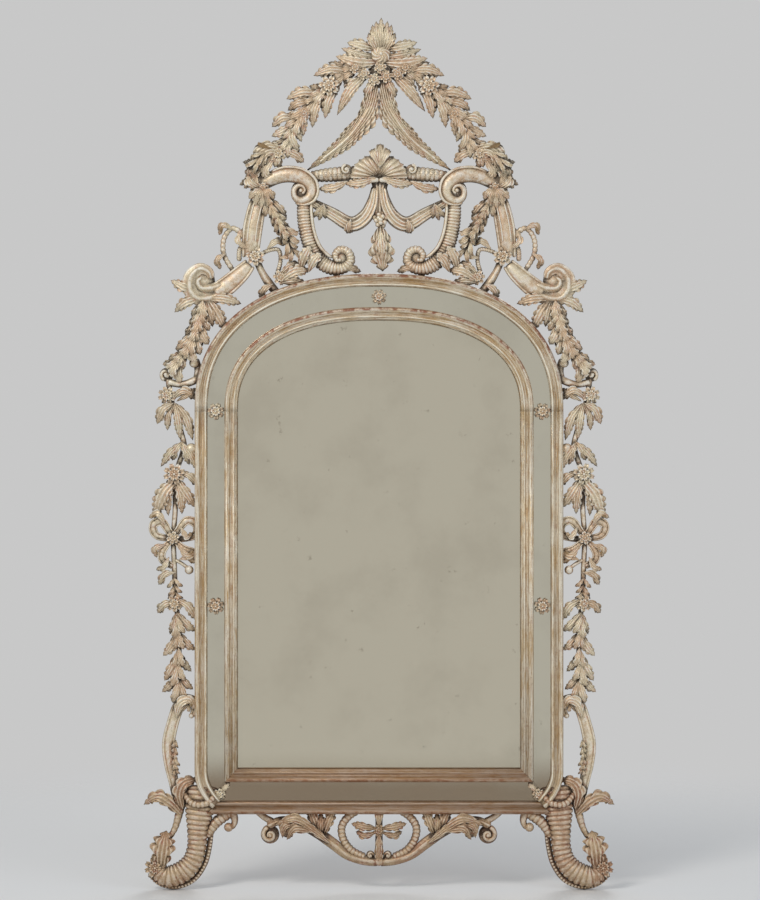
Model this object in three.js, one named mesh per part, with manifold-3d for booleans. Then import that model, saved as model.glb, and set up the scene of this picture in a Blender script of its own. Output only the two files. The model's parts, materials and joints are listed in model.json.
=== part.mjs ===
// A carved and gilded trumeau mirror: a tall arched looking glass in two mouldings with a border
// of glass strips between them, an openwork crest, garlands down both sides, scroll feet and a
// pierced apron. Millimetres, Z up, front towards -Y. The origin is the middle of the bottom
// rail's rear face, on the wall. Depths are distances in front of the wall.

import * as THREE from 'three';
import { mergeVertices } from 'three/addons/utils/BufferGeometryUtils.js';
import Module from 'manifold-3d';

const wasm = await Module();
wasm.setup();

// ---------------------------------------------------------------- Driving dimensions

const HALF_WIDTH = 405; // centre line to the outer moulding's outer edge
const BOTTOM_Z = -52; // outer moulding's lower edge
const SPRING_Z = 833; // end of the straight sides
const ARCH_RISE = 302; // from the spring line to the outer moulding's crown
const ARCH_POWER = 2.35; // 2 would be an ellipse, more is squarer
const CREST_HEIGHT = 563; // finial's tip above the crown
const SIDE_REACH = 112; // feet and garlands beyond the moulding
const FOOT_DROP = 170; // feet below the moulding

const GAP = 0.3; // clearance between pieces that touch
const FRAME_DEPTH = 24; // pine back frame
const FRAME_INSET = 5; // back frame inside the outer moulding's edge
const OUTER_WIDTH = 27; // outer moulding
const OUTER_DEPTH = 26;
const BORDER_WIDTH = 38; // glass strips showing at the sides
const BORDER_EXTRA = 8; // and the more that shows at the crown
const INNER_BOTTOM_Z = 18; // inner moulding's lower edge
const INNER_WIDTH = 28; // inner moulding
const INNER_DEPTH = 21;
const SIGHT_OVERHANG = 4; // inner moulding past the back frame's lip
const REBATE = 16; // width of the back frame's rebate
const REBATE_DEPTH = 16.3;
const GLASS = 4; // plate thickness
const GLASS_TUCK = 3; // border plates under each moulding
const TUCK_ROOM = 5; // width of the mouldings' own rebates
const BOARD = 9; // backboard thickness
const CARVING_BACK = 4; // flat back of every carving
const BORDER_SEAM_Z = 405; // joint in the side border strips
const LAP = 60; // length of the back frame's half laps
const CORNER_CUT = 55; // moulding turns in over this length at the lower corners

const STRAP_WIDTH = 13; // crest straps
const STRAP_THICK = 3.4;
const STRAP_FOOT = 95; // from the centre line, where they are let into the heads
const STRAP_LET_IN = 75;

const HANGER_X = 365; // hanging plates
const HANGER_Z = 760; // hinge axis of the rings
const HANGER_WIDTH = 20;
const HANGER_LENGTH = 62;
const HANGER_THICK = 2;
const RING_WIRE = 4; // diameter
const RING_HALF = 13; // centre of the wire from the middle of the ring
const RING_DROP = 23;
const EYE_WALL = 1.6;
const EYE_CLEAR = 0.5;
const EYE_WIDTH = 14;

const FRONT = new THREE.Vector3(0, -1, 0);

// ---------------------------------------------------------------- Finishes

const finish = (color, roughness, metalness) => ({ color, roughness, metalness });
const PINE = finish(0xa07c55, 0.85, 0);
const BOARDS = finish(0x8a6a48, 0.9, 0);
const IRON = finish(0x3a3632, 0.6, 0.8);
const MIRROR = finish(0xa8a292, 0.15, 0.9);
const BORDER_GLASS = finish(0x9c9a8a, 0.18, 0.9);
const MOULDING = finish(0xbf9f6f, 0.45, 0.3);
const GILT = finish(0xcdb48c, 0.5, 0.3);
const BOLE = finish(0xb08a66, 0.6, 0.15);

const assembly = new THREE.Group();

// ---------------------------------------------------------------- Solids

// The signed volume tells whether the faces point out.
function signedVolume(vertices, triangles) {
  const [a, b, c] = [new THREE.Vector3(), new THREE.Vector3(), new THREE.Vector3()];
  let total = 0;
  for (let i = 0; i < triangles.length; i += 3) {
    a.fromArray(vertices, 3 * triangles[i]);
    b.fromArray(vertices, 3 * triangles[i + 1]);
    c.fromArray(vertices, 3 * triangles[i + 2]);
    total += a.dot(b.cross(c)) / 6;
  }
  return total;
}

function solidFrom(vertices, triangles) {
  const whole = [];
  const inward = signedVolume(vertices, triangles) < 0;
  for (let i = 0; i < triangles.length; i += 3) {
    const [a, b, c] = [triangles[i], triangles[i + 1], triangles[i + 2]];
    if (a !== b && b !== c && c !== a) {
      whole.push(a, inward ? c : b, inward ? b : c);
    }
  }
  return new wasm.Manifold(new wasm.Mesh({
    numProp: 3,
    vertProperties: new Float32Array(vertices),
    triVerts: new Uint32Array(whole),
  }));
}

function solid(geometry) {
  geometry.deleteAttribute('normal');
  geometry.deleteAttribute('uv');
  const merged = mergeVertices(geometry, 1e-4);
  return solidFrom(merged.attributes.position.array, merged.index.array);
}

function join(solids) {
  return solids.reduce((all, next) => all.add(next));
}

function mirrored(body) {
  const { vertProperties, triVerts } = body.getMesh();
  return solidFrom(vertProperties.map((v, i) => (i % 3 === 0 ? -v : v)), triVerts);
}

// The same solid with each vertex moved out along the mean of the faces round it.
function grown(body, by = 1.5 * GAP) {
  const { vertProperties: from, triVerts: triangles } = body.getMesh();
  const normals = Array.from({ length: from.length / 3 }, () => new THREE.Vector3());
  const point = (i) => new THREE.Vector3().fromArray(from, 3 * i);
  for (let i = 0; i < triangles.length; i += 3) {
    const corners = [triangles[i], triangles[i + 1], triangles[i + 2]];
    const [a, b, c] = corners.map(point);
    const face = b.clone().sub(a).cross(c.clone().sub(a)).normalize();
    corners.forEach((corner, k) => {
      const here = [a, b, c][k];
      const next = [b, c, a][k].clone().sub(here);
      const last = [c, a, b][k].clone().sub(here);
      normals[corner].addScaledVector(face, next.angleTo(last));
    });
  }
  const moved = new Float32Array(from);
  normals.forEach((normal, i) => {
    normal.normalize();
    moved[3 * i] += by * normal.x;
    moved[3 * i + 1] += by * normal.y;
    moved[3 * i + 2] += by * normal.z;
  });
  return solidFrom(moved, triangles);
}

// The largest piece, after a cut that takes the tip off a leaf.
function largest(body) {
  return body.decompose().sort((a, b) => b.volume() - a.volume())[0];
}

function put(name, body, look) {
  const mesh = body.getMesh();
  const geometry = new THREE.BufferGeometry();
  geometry.setAttribute('position', new THREE.BufferAttribute(mesh.vertProperties, 3));
  geometry.setIndex(new THREE.BufferAttribute(mesh.triVerts, 1));
  geometry.computeVertexNormals();
  const piece = new THREE.Mesh(geometry, new THREE.MeshStandardMaterial(look));
  piece.name = name;
  assembly.add(piece);
  return body;
}

// ---------------------------------------------------------------- Flat pieces

function outlined(points) {
  return new THREE.Shape(points.map(([x, z]) => new THREE.Vector2(x, z)));
}

// An outline seen from the front, as thick as the two depths are apart.
function slab(points, near, far) {
  const plate = new THREE.ExtrudeGeometry(outlined(points), {
    depth: far - near,
    bevelEnabled: false,
  });
  plate.rotateX(Math.PI / 2);
  plate.translate(0, -near, 0);
  return solid(plate);
}

function block(x0, x1, z0, z1, near, far) {
  return slab([[x0, z0], [x1, z0], [x1, z1], [x0, z1]], near, far);
}

// A point of the arch whose half width and rise are given, turn running from 0 at the left
// spring over the crown at 0.5 to 1 at the right spring.
function archPoint(halfWidth, rise, turn) {
  const angle = Math.PI * turn;
  const power = 2 / ARCH_POWER;
  const side = turn < 0.5 ? -1 : 1;
  return [
    side * halfWidth * Math.abs(Math.cos(angle)) ** power,
    SPRING_Z + rise * Math.abs(Math.sin(angle)) ** power,
  ];
}

function archLine(halfWidth, rise, from, to, steps) {
  const points = [];
  for (let i = 0; i <= steps; i += 1) {
    points.push(archPoint(halfWidth, rise, from + ((to - from) * i) / steps));
  }
  return points;
}

// Half width, rise and bottom of each line that follows the frame's outline.
const borderLess = OUTER_WIDTH + BORDER_WIDTH;
const CROWN_Z = SPRING_Z + ARCH_RISE;
const LINES = {
  edge: [HALF_WIDTH, ARCH_RISE, BOTTOM_Z],
  frame: [HALF_WIDTH - FRAME_INSET, ARCH_RISE - FRAME_INSET, BOTTOM_Z + 3],
  border: [HALF_WIDTH - OUTER_WIDTH, ARCH_RISE - OUTER_WIDTH, BOTTOM_Z + OUTER_WIDTH],
  inner: [HALF_WIDTH - borderLess, ARCH_RISE - borderLess - BORDER_EXTRA, INNER_BOTTOM_Z],
};
const [innerHalf, innerRise, innerBottom] = LINES.inner;
LINES.sight = [innerHalf - INNER_WIDTH, innerRise - INNER_WIDTH, innerBottom + INNER_WIDTH];
const [sightHalf, sightRise, sightBottom] = LINES.sight;
LINES.lip = [sightHalf + SIGHT_OVERHANG, sightRise + SIGHT_OVERHANG, sightBottom - SIGHT_OVERHANG];
const [lipHalf, lipRise, lipBottom] = LINES.lip;
LINES.rebate = [lipHalf + REBATE, lipRise + REBATE, lipBottom - REBATE];

function inside([halfWidth, rise, bottom], by) {
  return [halfWidth - by, rise - by, bottom + by];
}

// The whole outline, from the lower left corner up and over.
function archedOutline([halfWidth, rise, bottom], steps) {
  return [
    [-halfWidth, bottom],
    ...archLine(halfWidth, rise, 0, 1, steps),
    [halfWidth, bottom],
  ];
}

// The lower corners are cut off where the moulding turns inwards.
function cutCorner(side, by) {
  const x = side * (HALF_WIDTH - by);
  const [dx, dz] = [-side, CORNER_CUT / 53];
  return [
    [x + side * 40, BOTTOM_Z - 60],
    [x + side * 40, BOTTOM_Z + CORNER_CUT + 33 * dz + by],
    [x, BOTTOM_Z + CORNER_CUT + 33 + by],
    [x - side * 6, BOTTOM_Z + CORNER_CUT + 10 + by],
    [x + dx * 31, BOTTOM_Z + 18 + by],
    [x + dx * 53, BOTTOM_Z - 2 + by],
    [x + dx * 53, BOTTOM_Z - 60],
  ];
}

// ---------------------------------------------------------------- Back frame

const frameTop = SPRING_Z;
const frameLine = LINES.frame;
const [frameHalf, frameRise, frameBottom] = frameLine;
const glassRoom = slab(archedOutline(LINES.rebate, 22), -1, REBATE_DEPTH);
const sightRoom = slab(archedOutline(LINES.lip, 22), -1, FRAME_DEPTH + 1);
const cornerRoom = join([-1, 1].map((side) => slab(cutCorner(side, 3), -20, 80)));

function halfLap(x0, x1, z0, z1, near) {
  const middle = FRAME_DEPTH / 2;
  const [from, to] = near ? [-1, middle + GAP / 2] : [middle - GAP / 2, FRAME_DEPTH + 1];
  return block(x0, x1, z0, z1, from, to);
}

for (const [side, hand] of [[-1, 'left'], [1, 'right']]) {
  const outerX = side * frameHalf;
  const innerX = side * (lipHalf - 2);
  const [x0, x1] = [Math.min(outerX, innerX), Math.max(outerX, innerX)];
  const stile = block(x0, x1, frameBottom, frameTop, 0, FRAME_DEPTH)
    .subtract(glassRoom)
    .subtract(sightRoom)
    .subtract(cornerRoom)
    .subtract(halfLap(x0 - 1, x1 + 1, frameTop - LAP - GAP, frameTop + 1, true))
    .subtract(halfLap(x0 - 1, x1 + 1, frameBottom - 1, lipBottom + GAP, true));
  put(`back_frame_stile_${hand}`, largest(stile), PINE);

  // The heads meet at the crown in a half lap and are let in for the crest strap.
  const reachX = 30;
  const rim = archLine(frameHalf, frameRise, 0, 0.53, 15);
  const whole = slab([
    [-frameHalf, frameTop - LAP],
    ...rim,
    [rim.at(-1)[0], SPRING_Z + 20],
    [2 - lipHalf, SPRING_Z + 20],
    [2 - lipHalf, frameTop - LAP],
  ], 0, FRAME_DEPTH);
  const crownZ = SPRING_Z + frameRise + 9;
  const strapX = side * STRAP_FOOT;
  const head = (side < 0 ? whole : mirrored(whole))
    .subtract(glassRoom)
    .subtract(sightRoom)
    .subtract(halfLap(x0 - 1, x1 + 1, frameTop - LAP - 1, frameTop + GAP, false))
    .subtract(block(side < 0 ? reachX : -99, side < 0 ? 99 : -reachX, SPRING_Z, crownZ, -1, 30))
    .subtract(side < 0
      ? halfLap(-reachX - GAP, reachX + 1, SPRING_Z, crownZ, true)
      : halfLap(-reachX - 1, reachX + GAP, SPRING_Z, crownZ, false))
    .subtract(block(
      strapX - STRAP_WIDTH / 2 - GAP,
      strapX + STRAP_WIDTH / 2 + GAP,
      CROWN_Z - STRAP_LET_IN - GAP,
      crownZ,
      -1,
      CARVING_BACK,
    ));
  put(`back_frame_head_${hand}`, largest(head), PINE);
}

const rail = block(-frameHalf, frameHalf, frameBottom, lipBottom, 0, FRAME_DEPTH)
  .subtract(glassRoom)
  .subtract(cornerRoom)
  .subtract(halfLap(-frameHalf - 1, -lipHalf + 2 + GAP, frameBottom - 1, lipBottom + 1, false))
  .subtract(halfLap(lipHalf - 2 - GAP, frameHalf + 1, frameBottom - 1, lipBottom + 1, false));
put('back_frame_bottom_rail', largest(rail), PINE);

// Three upright boards lie in the rebate behind the glass.
const boardFront = REBATE_DEPTH - GAP - GLASS - 0.5;
const boardLine = inside(LINES.rebate, 1);
const boardArea = slab(archedOutline(boardLine, 22), boardFront - BOARD, boardFront);
const boardHalf = boardLine[0];
['left', 'centre', 'right'].forEach((place, i) => {
  const from = -boardHalf + (i * 2 * boardHalf) / 3 + GAP;
  const to = from + (2 * boardHalf) / 3 - GAP;
  const column = block(from, to, BOTTOM_Z, SPRING_Z + ARCH_RISE, -1, 30);
  put(`backboard_${place}`, boardArea.intersect(column), BOARDS);
});

// ---------------------------------------------------------------- Mouldings

// A path in the plane of the front, through stations that each have a point and a direction.
class FrontPath extends THREE.Curve {
  constructor(stations, depth) {
    super();
    this.stations = stations;
    this.depth = depth;
  }

  at(u, pick) {
    const spot = u * (this.stations.length - 1);
    const i = Math.min(Math.floor(spot), this.stations.length - 2);
    const [a, b] = [this.stations[i], this.stations[i + 1]].map(pick);
    return a.clone().lerp(b, spot - i);
  }

  getPoint(u, target = new THREE.Vector3()) {
    return target.copy(this.at(u, ([x, z]) => new THREE.Vector3(x, -this.depth, z)));
  }

  getPointAt(u, target) {
    return this.getPoint(u, target);
  }

  getTangentAt(u, target = new THREE.Vector3()) {
    return target.copy(this.at(u, ([, , dx, dz]) => new THREE.Vector3(dx, 0, dz))).normalize();
  }

  // The section never twists: its first direction is always the front.
  computeFrenetFrames(segments) {
    const frames = { tangents: [], normals: [], binormals: [] };
    for (let i = 0; i <= segments; i += 1) {
      const tangent = this.getTangentAt(i / segments);
      frames.tangents.push(tangent);
      frames.normals.push(FRONT.clone());
      frames.binormals.push(tangent.clone().cross(FRONT));
    }
    return frames;
  }
}

// Profiles run from the outer edge (0) to the inner edge (1) and from the back (0) to the
// front (1). Both mouldings have a bead, a cove and a lip.
const OUTER_PROFILE = [[0, 0], [0, 0.62], [0.1, 0.9], [0.24, 1], [0.37, 0.86], [0.5, 0.52],
  [0.7, 0.5], [0.82, 0.78], [1, 0.66]];
const INNER_PROFILE = [[0, 0.55], [0.08, 0.86], [0.24, 1], [0.4, 0.84], [0.52, 0.56],
  [0.7, 0.6], [0.84, 0.42], [1, 0.3], [1, 0]];

function profile(points, width, depth, rebateSide) {
  const place = ([u, v]) => new THREE.Vector2(v * depth, (u - 0.5) * width);
  const line = points.map(place);
  const step = GLASS + 2 * GAP;
  if (rebateSide === 'inner') {
    line.push(new THREE.Vector2(step, 0.5 * width));
    line.push(new THREE.Vector2(step, 0.5 * width - TUCK_ROOM));
    line.push(new THREE.Vector2(0, 0.5 * width - TUCK_ROOM));
  } else {
    line.push(new THREE.Vector2(0, TUCK_ROOM - 0.5 * width));
    line.push(new THREE.Vector2(step, TUCK_ROOM - 0.5 * width));
    line.push(new THREE.Vector2(step, -0.5 * width));
  }
  return new THREE.Shape(line);
}

const mouldingBack = FRAME_DEPTH + GAP;
const outerShape = profile(OUTER_PROFILE, OUTER_WIDTH, OUTER_DEPTH, 'inner');
const innerShape = profile(INNER_PROFILE, INNER_WIDTH, INNER_DEPTH, 'outer');

function moulding(shape, stations) {
  return solid(new THREE.ExtrudeGeometry(shape, {
    steps: stations.length - 1,
    extrudePath: new FrontPath(stations, mouldingBack),
  }));
}

// Stations of an arch's centre line, with the curve's own direction at each.
function archStations(halfWidth, rise, steps) {
  const stations = [];
  for (let i = 0; i <= steps; i += 1) {
    const [x, z] = archPoint(halfWidth, rise, i / steps);
    const nx = (Math.sign(x) * (Math.abs(x) / halfWidth) ** (ARCH_POWER - 1)) / halfWidth;
    const nz = ((z - SPRING_Z) / rise) ** (ARCH_POWER - 1) / rise;
    stations.push([x, i === 0 || i === steps ? SPRING_Z + GAP / 2 : z, nz, -nx]);
  }
  return stations;
}

const outerCentre = inside(LINES.edge, OUTER_WIDTH / 2);
const innerCentre = inside(LINES.inner, INNER_WIDTH / 2);

// The side moulding runs straight down, then turns in over the lower corner.
function outerSide() {
  const x = -outerCentre[0];
  const bend = new THREE.QuadraticBezierCurve(
    new THREE.Vector2(x, BOTTOM_Z + CORNER_CUT + 36),
    new THREE.Vector2(x + 1, BOTTOM_Z + CORNER_CUT),
    new THREE.Vector2(x + 34, BOTTOM_Z + 22),
  );
  const stations = [];
  for (let i = 4; i >= 0; i -= 1) {
    const [p, t] = [bend.getPoint(i / 4), bend.getTangent(i / 4)];
    stations.push([p.x, p.y, -t.x, -t.y]);
  }
  stations.push([x, SPRING_Z - GAP / 2, 0, 1]);
  return stations;
}

const outerLeft = moulding(outerShape, outerSide());
const outerRight = mirrored(outerLeft);
const outerArch = moulding(outerShape, archStations(outerCentre[0], outerCentre[1], 16));
const outerEnd = HALF_WIDTH - 30;
const bottomZ = (LINES.edge[2] + LINES.border[2]) / 2;
const outerBottom = moulding(outerShape, [[outerEnd, bottomZ, -1, 0], [-outerEnd, bottomZ, -1, 0]])
  .subtract(grown(outerLeft))
  .subtract(grown(outerRight))
  .subtract(cornerRoom);
put('outer_moulding_left', outerLeft, MOULDING);
put('outer_moulding_right', outerRight, MOULDING);
put('outer_moulding_arch', outerArch, MOULDING);
put('outer_moulding_bottom', largest(outerBottom), MOULDING);

// The inner moulding's lower corners are mitred.
const innerX = innerCentre[0];
const innerZ = (innerBottom + sightBottom) / 2;
const corner = [innerHalf, innerBottom];
const reach = 60;
const underMitre = slab([
  [-corner[0] - reach, corner[1] - reach],
  [-corner[0] + reach, corner[1] + reach],
  [corner[0] - reach, corner[1] + reach],
  [corner[0] + reach, corner[1] - reach],
], FRAME_DEPTH, FRAME_DEPTH + 60);
const innerSide = moulding(innerShape, [
  [-innerX, innerBottom - 20, 0, 1],
  [-innerX, SPRING_Z - GAP / 2, 0, 1],
]);
const innerLeft = largest(innerSide.subtract(grown(underMitre, GAP)));
const innerRight = mirrored(innerLeft);
const innerArch = moulding(innerShape, archStations(innerCentre[0], innerCentre[1], 14));
const innerBase = moulding(innerShape, [[innerHalf + 20, innerZ, -1, 0], [-innerHalf - 20, innerZ, -1, 0]])
  .intersect(underMitre)
  .subtract(grown(innerLeft))
  .subtract(grown(innerRight));
put('inner_moulding_left', innerLeft, MOULDING);
put('inner_moulding_right', innerRight, MOULDING);
put('inner_moulding_arch', innerArch, MOULDING);
put('inner_moulding_bottom', largest(innerBase), MOULDING);

// ---------------------------------------------------------------- Glass

const mainLine = inside(LINES.rebate, 1);
const mainBack = REBATE_DEPTH - GAP - GLASS;
put('main_mirror_plate', slab(archedOutline(mainLine, 22), mainBack, mainBack + GLASS), MIRROR);

const glassBack = FRAME_DEPTH + GAP;
const plateOuter = inside(LINES.border, -GLASS_TUCK);
const plateInner = inside(LINES.inner, GLASS_TUCK);
const seats = [outerLeft, outerRight, outerBottom, innerLeft, innerRight, innerBase]
  .map((body) => grown(body, 2 * GAP))
  .concat(cornerRoom);

function plate(name, points) {
  let body = slab(points, glassBack, glassBack + GLASS);
  for (const seat of seats) {
    body = body.subtract(seat);
  }
  put(name, largest(body), BORDER_GLASS);
}

const half = GAP / 2;
plate('border_plate_bottom', [
  [-plateOuter[0] + GAP, plateOuter[2]],
  [plateOuter[0] - GAP, plateOuter[2]],
  [plateInner[0] - GAP, plateInner[2]],
  [-plateInner[0] + GAP, plateInner[2]],
]);
for (const [side, hand] of [[-1, 'left'], [1, 'right']]) {
  plate(`border_plate_${hand}_lower`, [
    [side * plateOuter[0], plateOuter[2] + GAP],
    [side * plateOuter[0], BORDER_SEAM_Z - half],
    [side * plateInner[0], BORDER_SEAM_Z - half],
    [side * plateInner[0], plateInner[2] + GAP],
  ]);
  plate(`border_plate_${hand}_upper`, [
    [side * plateOuter[0], BORDER_SEAM_Z + half],
    [side * plateOuter[0], SPRING_Z - half],
    [side * plateInner[0], SPRING_Z - half],
    [side * plateInner[0], BORDER_SEAM_Z + half],
  ]);
  const [from, to] = side < 0 ? [0, 0.5] : [1, 0.5];
  const trimmed = ([x, z]) => [
    side * Math.max(side * x, half),
    Math.max(z, SPRING_Z + half),
  ];
  plate(`border_plate_arch_${hand}`, [
    ...archLine(plateOuter[0], plateOuter[1], from, to, 12),
    ...archLine(plateInner[0], plateInner[1], to, from, 12),
  ].map(trimmed));
}

// ---------------------------------------------------------------- Carving tools

// The carvings are laid out on one drawing of the frame. Each pair is a width or a height on the
// drawing and where it falls on the frame, so every stretch of carving follows its own dimension.
const ACROSS = [[0, 0], [405, HALF_WIDTH], [517, HALF_WIDTH + SIDE_REACH]];
const UP = [
  [-222, BOTTOM_Z - FOOT_DROP],
  [-52, BOTTOM_Z],
  [833, SPRING_Z],
  [1135, CROWN_Z],
  [1698, CROWN_Z + CREST_HEIGHT],
];

function stretchOf(pairs, value) {
  let i = 0;
  while (i < pairs.length - 2 && value > pairs[i + 1][0]) {
    i += 1;
  }
  const [[a, p], [b, q]] = [pairs[i], pairs[i + 1]];
  return { from: a, start: p, rate: (q - p) / (b - a) };
}

function follow(pairs, value) {
  const { from, start, rate } = stretchOf(pairs, value);
  return start + (value - from) * rate;
}

function at(x, z, depth) {
  return new THREE.Vector3(Math.sign(x) * follow(ACROSS, Math.abs(x)), -depth, follow(UP, z));
}

// Stems, leaves and flowers grow with the frame round them, so that they still meet.
function growth(x, z) {
  return Math.max(stretchOf(ACROSS, Math.abs(x)).rate, stretchOf(UP, z).rate);
}

// The same for a piece that is set out on the frame itself.
function onFrame(x, z, depth) {
  return new THREE.Vector3(x, -depth, z);
}

// A loft: each ring of a capped cylinder is laid on a section of the form. Ring corner 0 faces
// the front and corner 1 the right-hand edge as the form grows.
function loft(sides, steps, place) {
  const tube = new THREE.CylinderGeometry(1, 1, 1, sides, steps);
  const position = tube.attributes.position;
  for (let i = 0; i < position.count; i += 1) {
    const [x, y, z] = [position.getX(i), position.getY(i), position.getZ(i)];
    const angle = Math.atan2(x, z);
    const cornerIndex = Math.round((angle / (2 * Math.PI)) * sides + sides) % sides;
    const spot = place(y + 0.5, cornerIndex, Math.hypot(x, z) > 0.5 ? 1 : 0);
    position.setXYZ(i, spot.x, spot.y, spot.z);
  }
  return solid(tube);
}

// Directions across and in front of a form that grows along the tangent.
function facing(tangent) {
  const across = tangent.clone().cross(FRONT).normalize();
  return [across, across.clone().cross(tangent)];
}

// A stem through points [x, z, depth, half width, half depth].
function stem(points, { sides = 4, steps = points.length - 1, ribs = 0 } = {}) {
  const path = new THREE.CatmullRomCurve3(points.map(([x, z, depth]) => at(x, z, depth)));
  const size = (t, k) => {
    const spot = t * (points.length - 1);
    const i = Math.min(Math.floor(spot), points.length - 2);
    return THREE.MathUtils.lerp(points[i][k], points[i + 1][k], spot - i);
  };
  const rows = ribs ? 2 * ribs : steps;
  return loft(sides, rows, (t, index, onRing) => {
    const [across, front] = facing(path.getTangent(t));
    const turned = sides === 4 ? 0.5 : 0;
    const angle = (2 * Math.PI * (index + turned)) / sides;
    const full = sides === 4 ? 1.2 : 1;
    const rib = ribs && Math.round(t * rows) % 2 === 1 ? 0.86 : 1;
    const spread = growth(size(t, 0), size(t, 1));
    return path.getPoint(t)
      .addScaledVector(across, onRing * full * rib * spread * size(t, 3) * Math.sin(angle))
      .addScaledVector(front, onRing * full * rib * size(t, 4) * Math.cos(angle));
  });
}

// A leaf along points [x, z, depth]: a raised midrib, thin edges, a flat back and both ends
// pointed. A lobed leaf has edges that run out to a tooth and back to a notch for each lobe.
const LEAF_SECTION = [[0, 1], [1, -0.3], [-1, -0.3]];

function leaf(points, width, { thick = 6, lobes = 0, root = 0.1, place = at } = {}) {
  const path = new THREE.CatmullRomCurve3(points.map((point) => place(...point)));
  const length = path.getLength();
  const spread = place === at ? growth(points[0][0], points[0][1]) : 1;
  const rows = lobes ? 2 * lobes + 1 : 2 + (width > 14);
  return loft(3, rows, (t, index, onRing) => {
    const row = Math.round(t * rows);
    if (row === 0 || row === rows) {
      return path.getPoint(t);
    }
    const [across, front] = facing(path.getTangent(t));
    const [u, v] = LEAF_SECTION[index];
    const blade = Math.sin(Math.PI * (root + (1 - root) * t) ** 1.1) ** 0.75;
    const tooth = lobes > 0 && row % 2 === 1;
    const reachOut = spread * width * blade * (lobes > 0 && !tooth ? 0.62 : 1);
    const forward = tooth && u !== 0 ? (0.5 * length) / rows : 0;
    const height = thick * (1 - 0.7 * t);
    return path.getPoint(t)
      .addScaledVector(across, onRing * u * reachOut)
      .addScaledVector(front, onRing * v * height)
      .addScaledVector(path.getTangent(t), onRing * forward);
  });
}

// A flower that faces the front, turned on its axis and then pinched in between the petals.
function rosette(point, radius, { petals = 6, height = 0.7 * radius, place = at } = {}) {
  const outline = [[0, 0], [1, 0.55], [0, 1]];
  const reach = radius * (place === at ? growth(point[0], point[1]) : 1);
  const disc = new THREE.LatheGeometry(
    outline.map(([r, h]) => new THREE.Vector2(r * reach, h * height)),
    2 * petals,
  );
  const position = disc.attributes.position;
  for (let i = 0; i < position.count; i += 1) {
    const [px, pz] = [position.getX(i), position.getZ(i)];
    const step = Math.round((Math.atan2(px, pz) / Math.PI) * petals);
    const pinch = Math.hypot(px, pz) > 0.9 * reach && Math.abs(step) % 2 === 1 ? 0.84 : 1;
    position.setX(i, px * pinch);
    position.setZ(i, pz * pinch);
  }
  disc.rotateX(Math.PI);
  disc.translate(...place(...point).toArray());
  return solid(disc);
}

function ball([x, z, depth], radius) {
  const centre = at(x, z, depth);
  const round = new THREE.IcosahedronGeometry(radius * growth(x, z));
  round.translate(centre.x, centre.y, centre.z);
  return solid(round);
}

// A volute: a disc whose rim, groove and eye all wind in by the same share in each turn, so that
// one ring runs on into the next. It starts at the angle from (0 to the right, 90 up), where the
// band enters, and hand 1 winds it anticlockwise.
const VOLUTE_SECTION = [[0, 0], [1, 0], [0.9, 0.9], [0.55, 0.55], [0, 1.1]];
const VOLUTE_SECTORS = 8;

function volute([x, z, depth], radius, { from = 90, hand = 1, height = 24 } = {}) {
  const snail = new THREE.LatheGeometry(
    VOLUTE_SECTION.map(([r, h]) => new THREE.Vector2(r * radius * growth(x, z), h * height)),
    VOLUTE_SECTORS,
  );
  snail.rotateX(Math.PI);
  const centre = at(x, z, depth - height / 2);
  const position = snail.attributes.position;
  for (let i = 0; i < position.count; i += 1) {
    const r = Math.hypot(position.getX(i), position.getZ(i));
    const sector = Math.floor(i / VOLUTE_SECTION.length) % VOLUTE_SECTORS;
    const share = sector / VOLUTE_SECTORS;
    const angle = THREE.MathUtils.degToRad(from + hand * 360 * share);
    const wound = r * 0.72 ** share;
    position.setX(i, centre.x + wound * Math.cos(angle));
    position.setY(i, centre.y + position.getY(i));
    position.setZ(i, centre.z + wound * Math.sin(angle));
  }
  return solid(snail);
}

// What no carving may enter: the frame and mouldings, and the space behind the flat backs.
const frameEdge = inside(LINES.edge, -GAP);
const frameRoom = slab(archedOutline(frameEdge, 32), -50, 90)
  .subtract(join([-1, 1].map((side) => slab(cutCorner(side, -GAP), -60, 100))));
const backRoom = block(-900, 900, -600, 2400, -80, CARVING_BACK);

function carve(name, solids, look, neighbours = []) {
  let body = join(solids).subtract(backRoom).subtract(frameRoom);
  for (const neighbour of neighbours) {
    body = body.subtract(grown(neighbour)).subtract(grown(neighbour, 0.1)).subtract(neighbour);
  }
  return put(name, largest(body), look);
}

function withMirror(solids) {
  return solids.concat(solids.map(mirrored));
}

// A pair is carved once and mirrored, so it clears its neighbours on both sides.
function carvePair(name, solids, look, neighbours = []) {
  const left = carve(`${name}_left`, solids, look, withMirror(neighbours));
  put(`${name}_right`, mirrored(left), look);
  return left;
}

// ---------------------------------------------------------------- Shoulders

const shoulderScroll = carvePair('shoulder_scroll', [
  stem([[-288, 1154, 20, 13, 12], [-306, 1134, 22, 19, 15], [-336, 1108, 24, 24, 18],
    [-374, 1090, 24, 18, 16]], { sides: 5, steps: 4 }),
  volute([-389, 1120, 26], 42, { from: 270, hand: -1 }),
  leaf([[-390, 1094, 24], [-428, 1106, 34], [-457, 1121, 24]], 17),
  leaf([[-388, 1084, 24], [-424, 1072, 34], [-449, 1052, 24]], 16),
  leaf([[-376, 1082, 24], [-340, 1080, 34], [-304, 1070, 24]], 14),
  leaf([[-378, 1082, 22], [-358, 1052, 32], [-336, 1010, 22]], 17),
  leaf([[-388, 1084, 22], [-398, 1020, 34], [-424, 966, 34], [-468, 920, 20]], 31,
    { lobes: 4, thick: 9, root: 0.2 }),
  stem([[-386, 1086, 20, 11, 10], [-398, 1020, 24, 9, 9], [-424, 966, 24, 8, 8],
    [-456, 928, 20, 7, 7]]),
], GILT);

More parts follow.
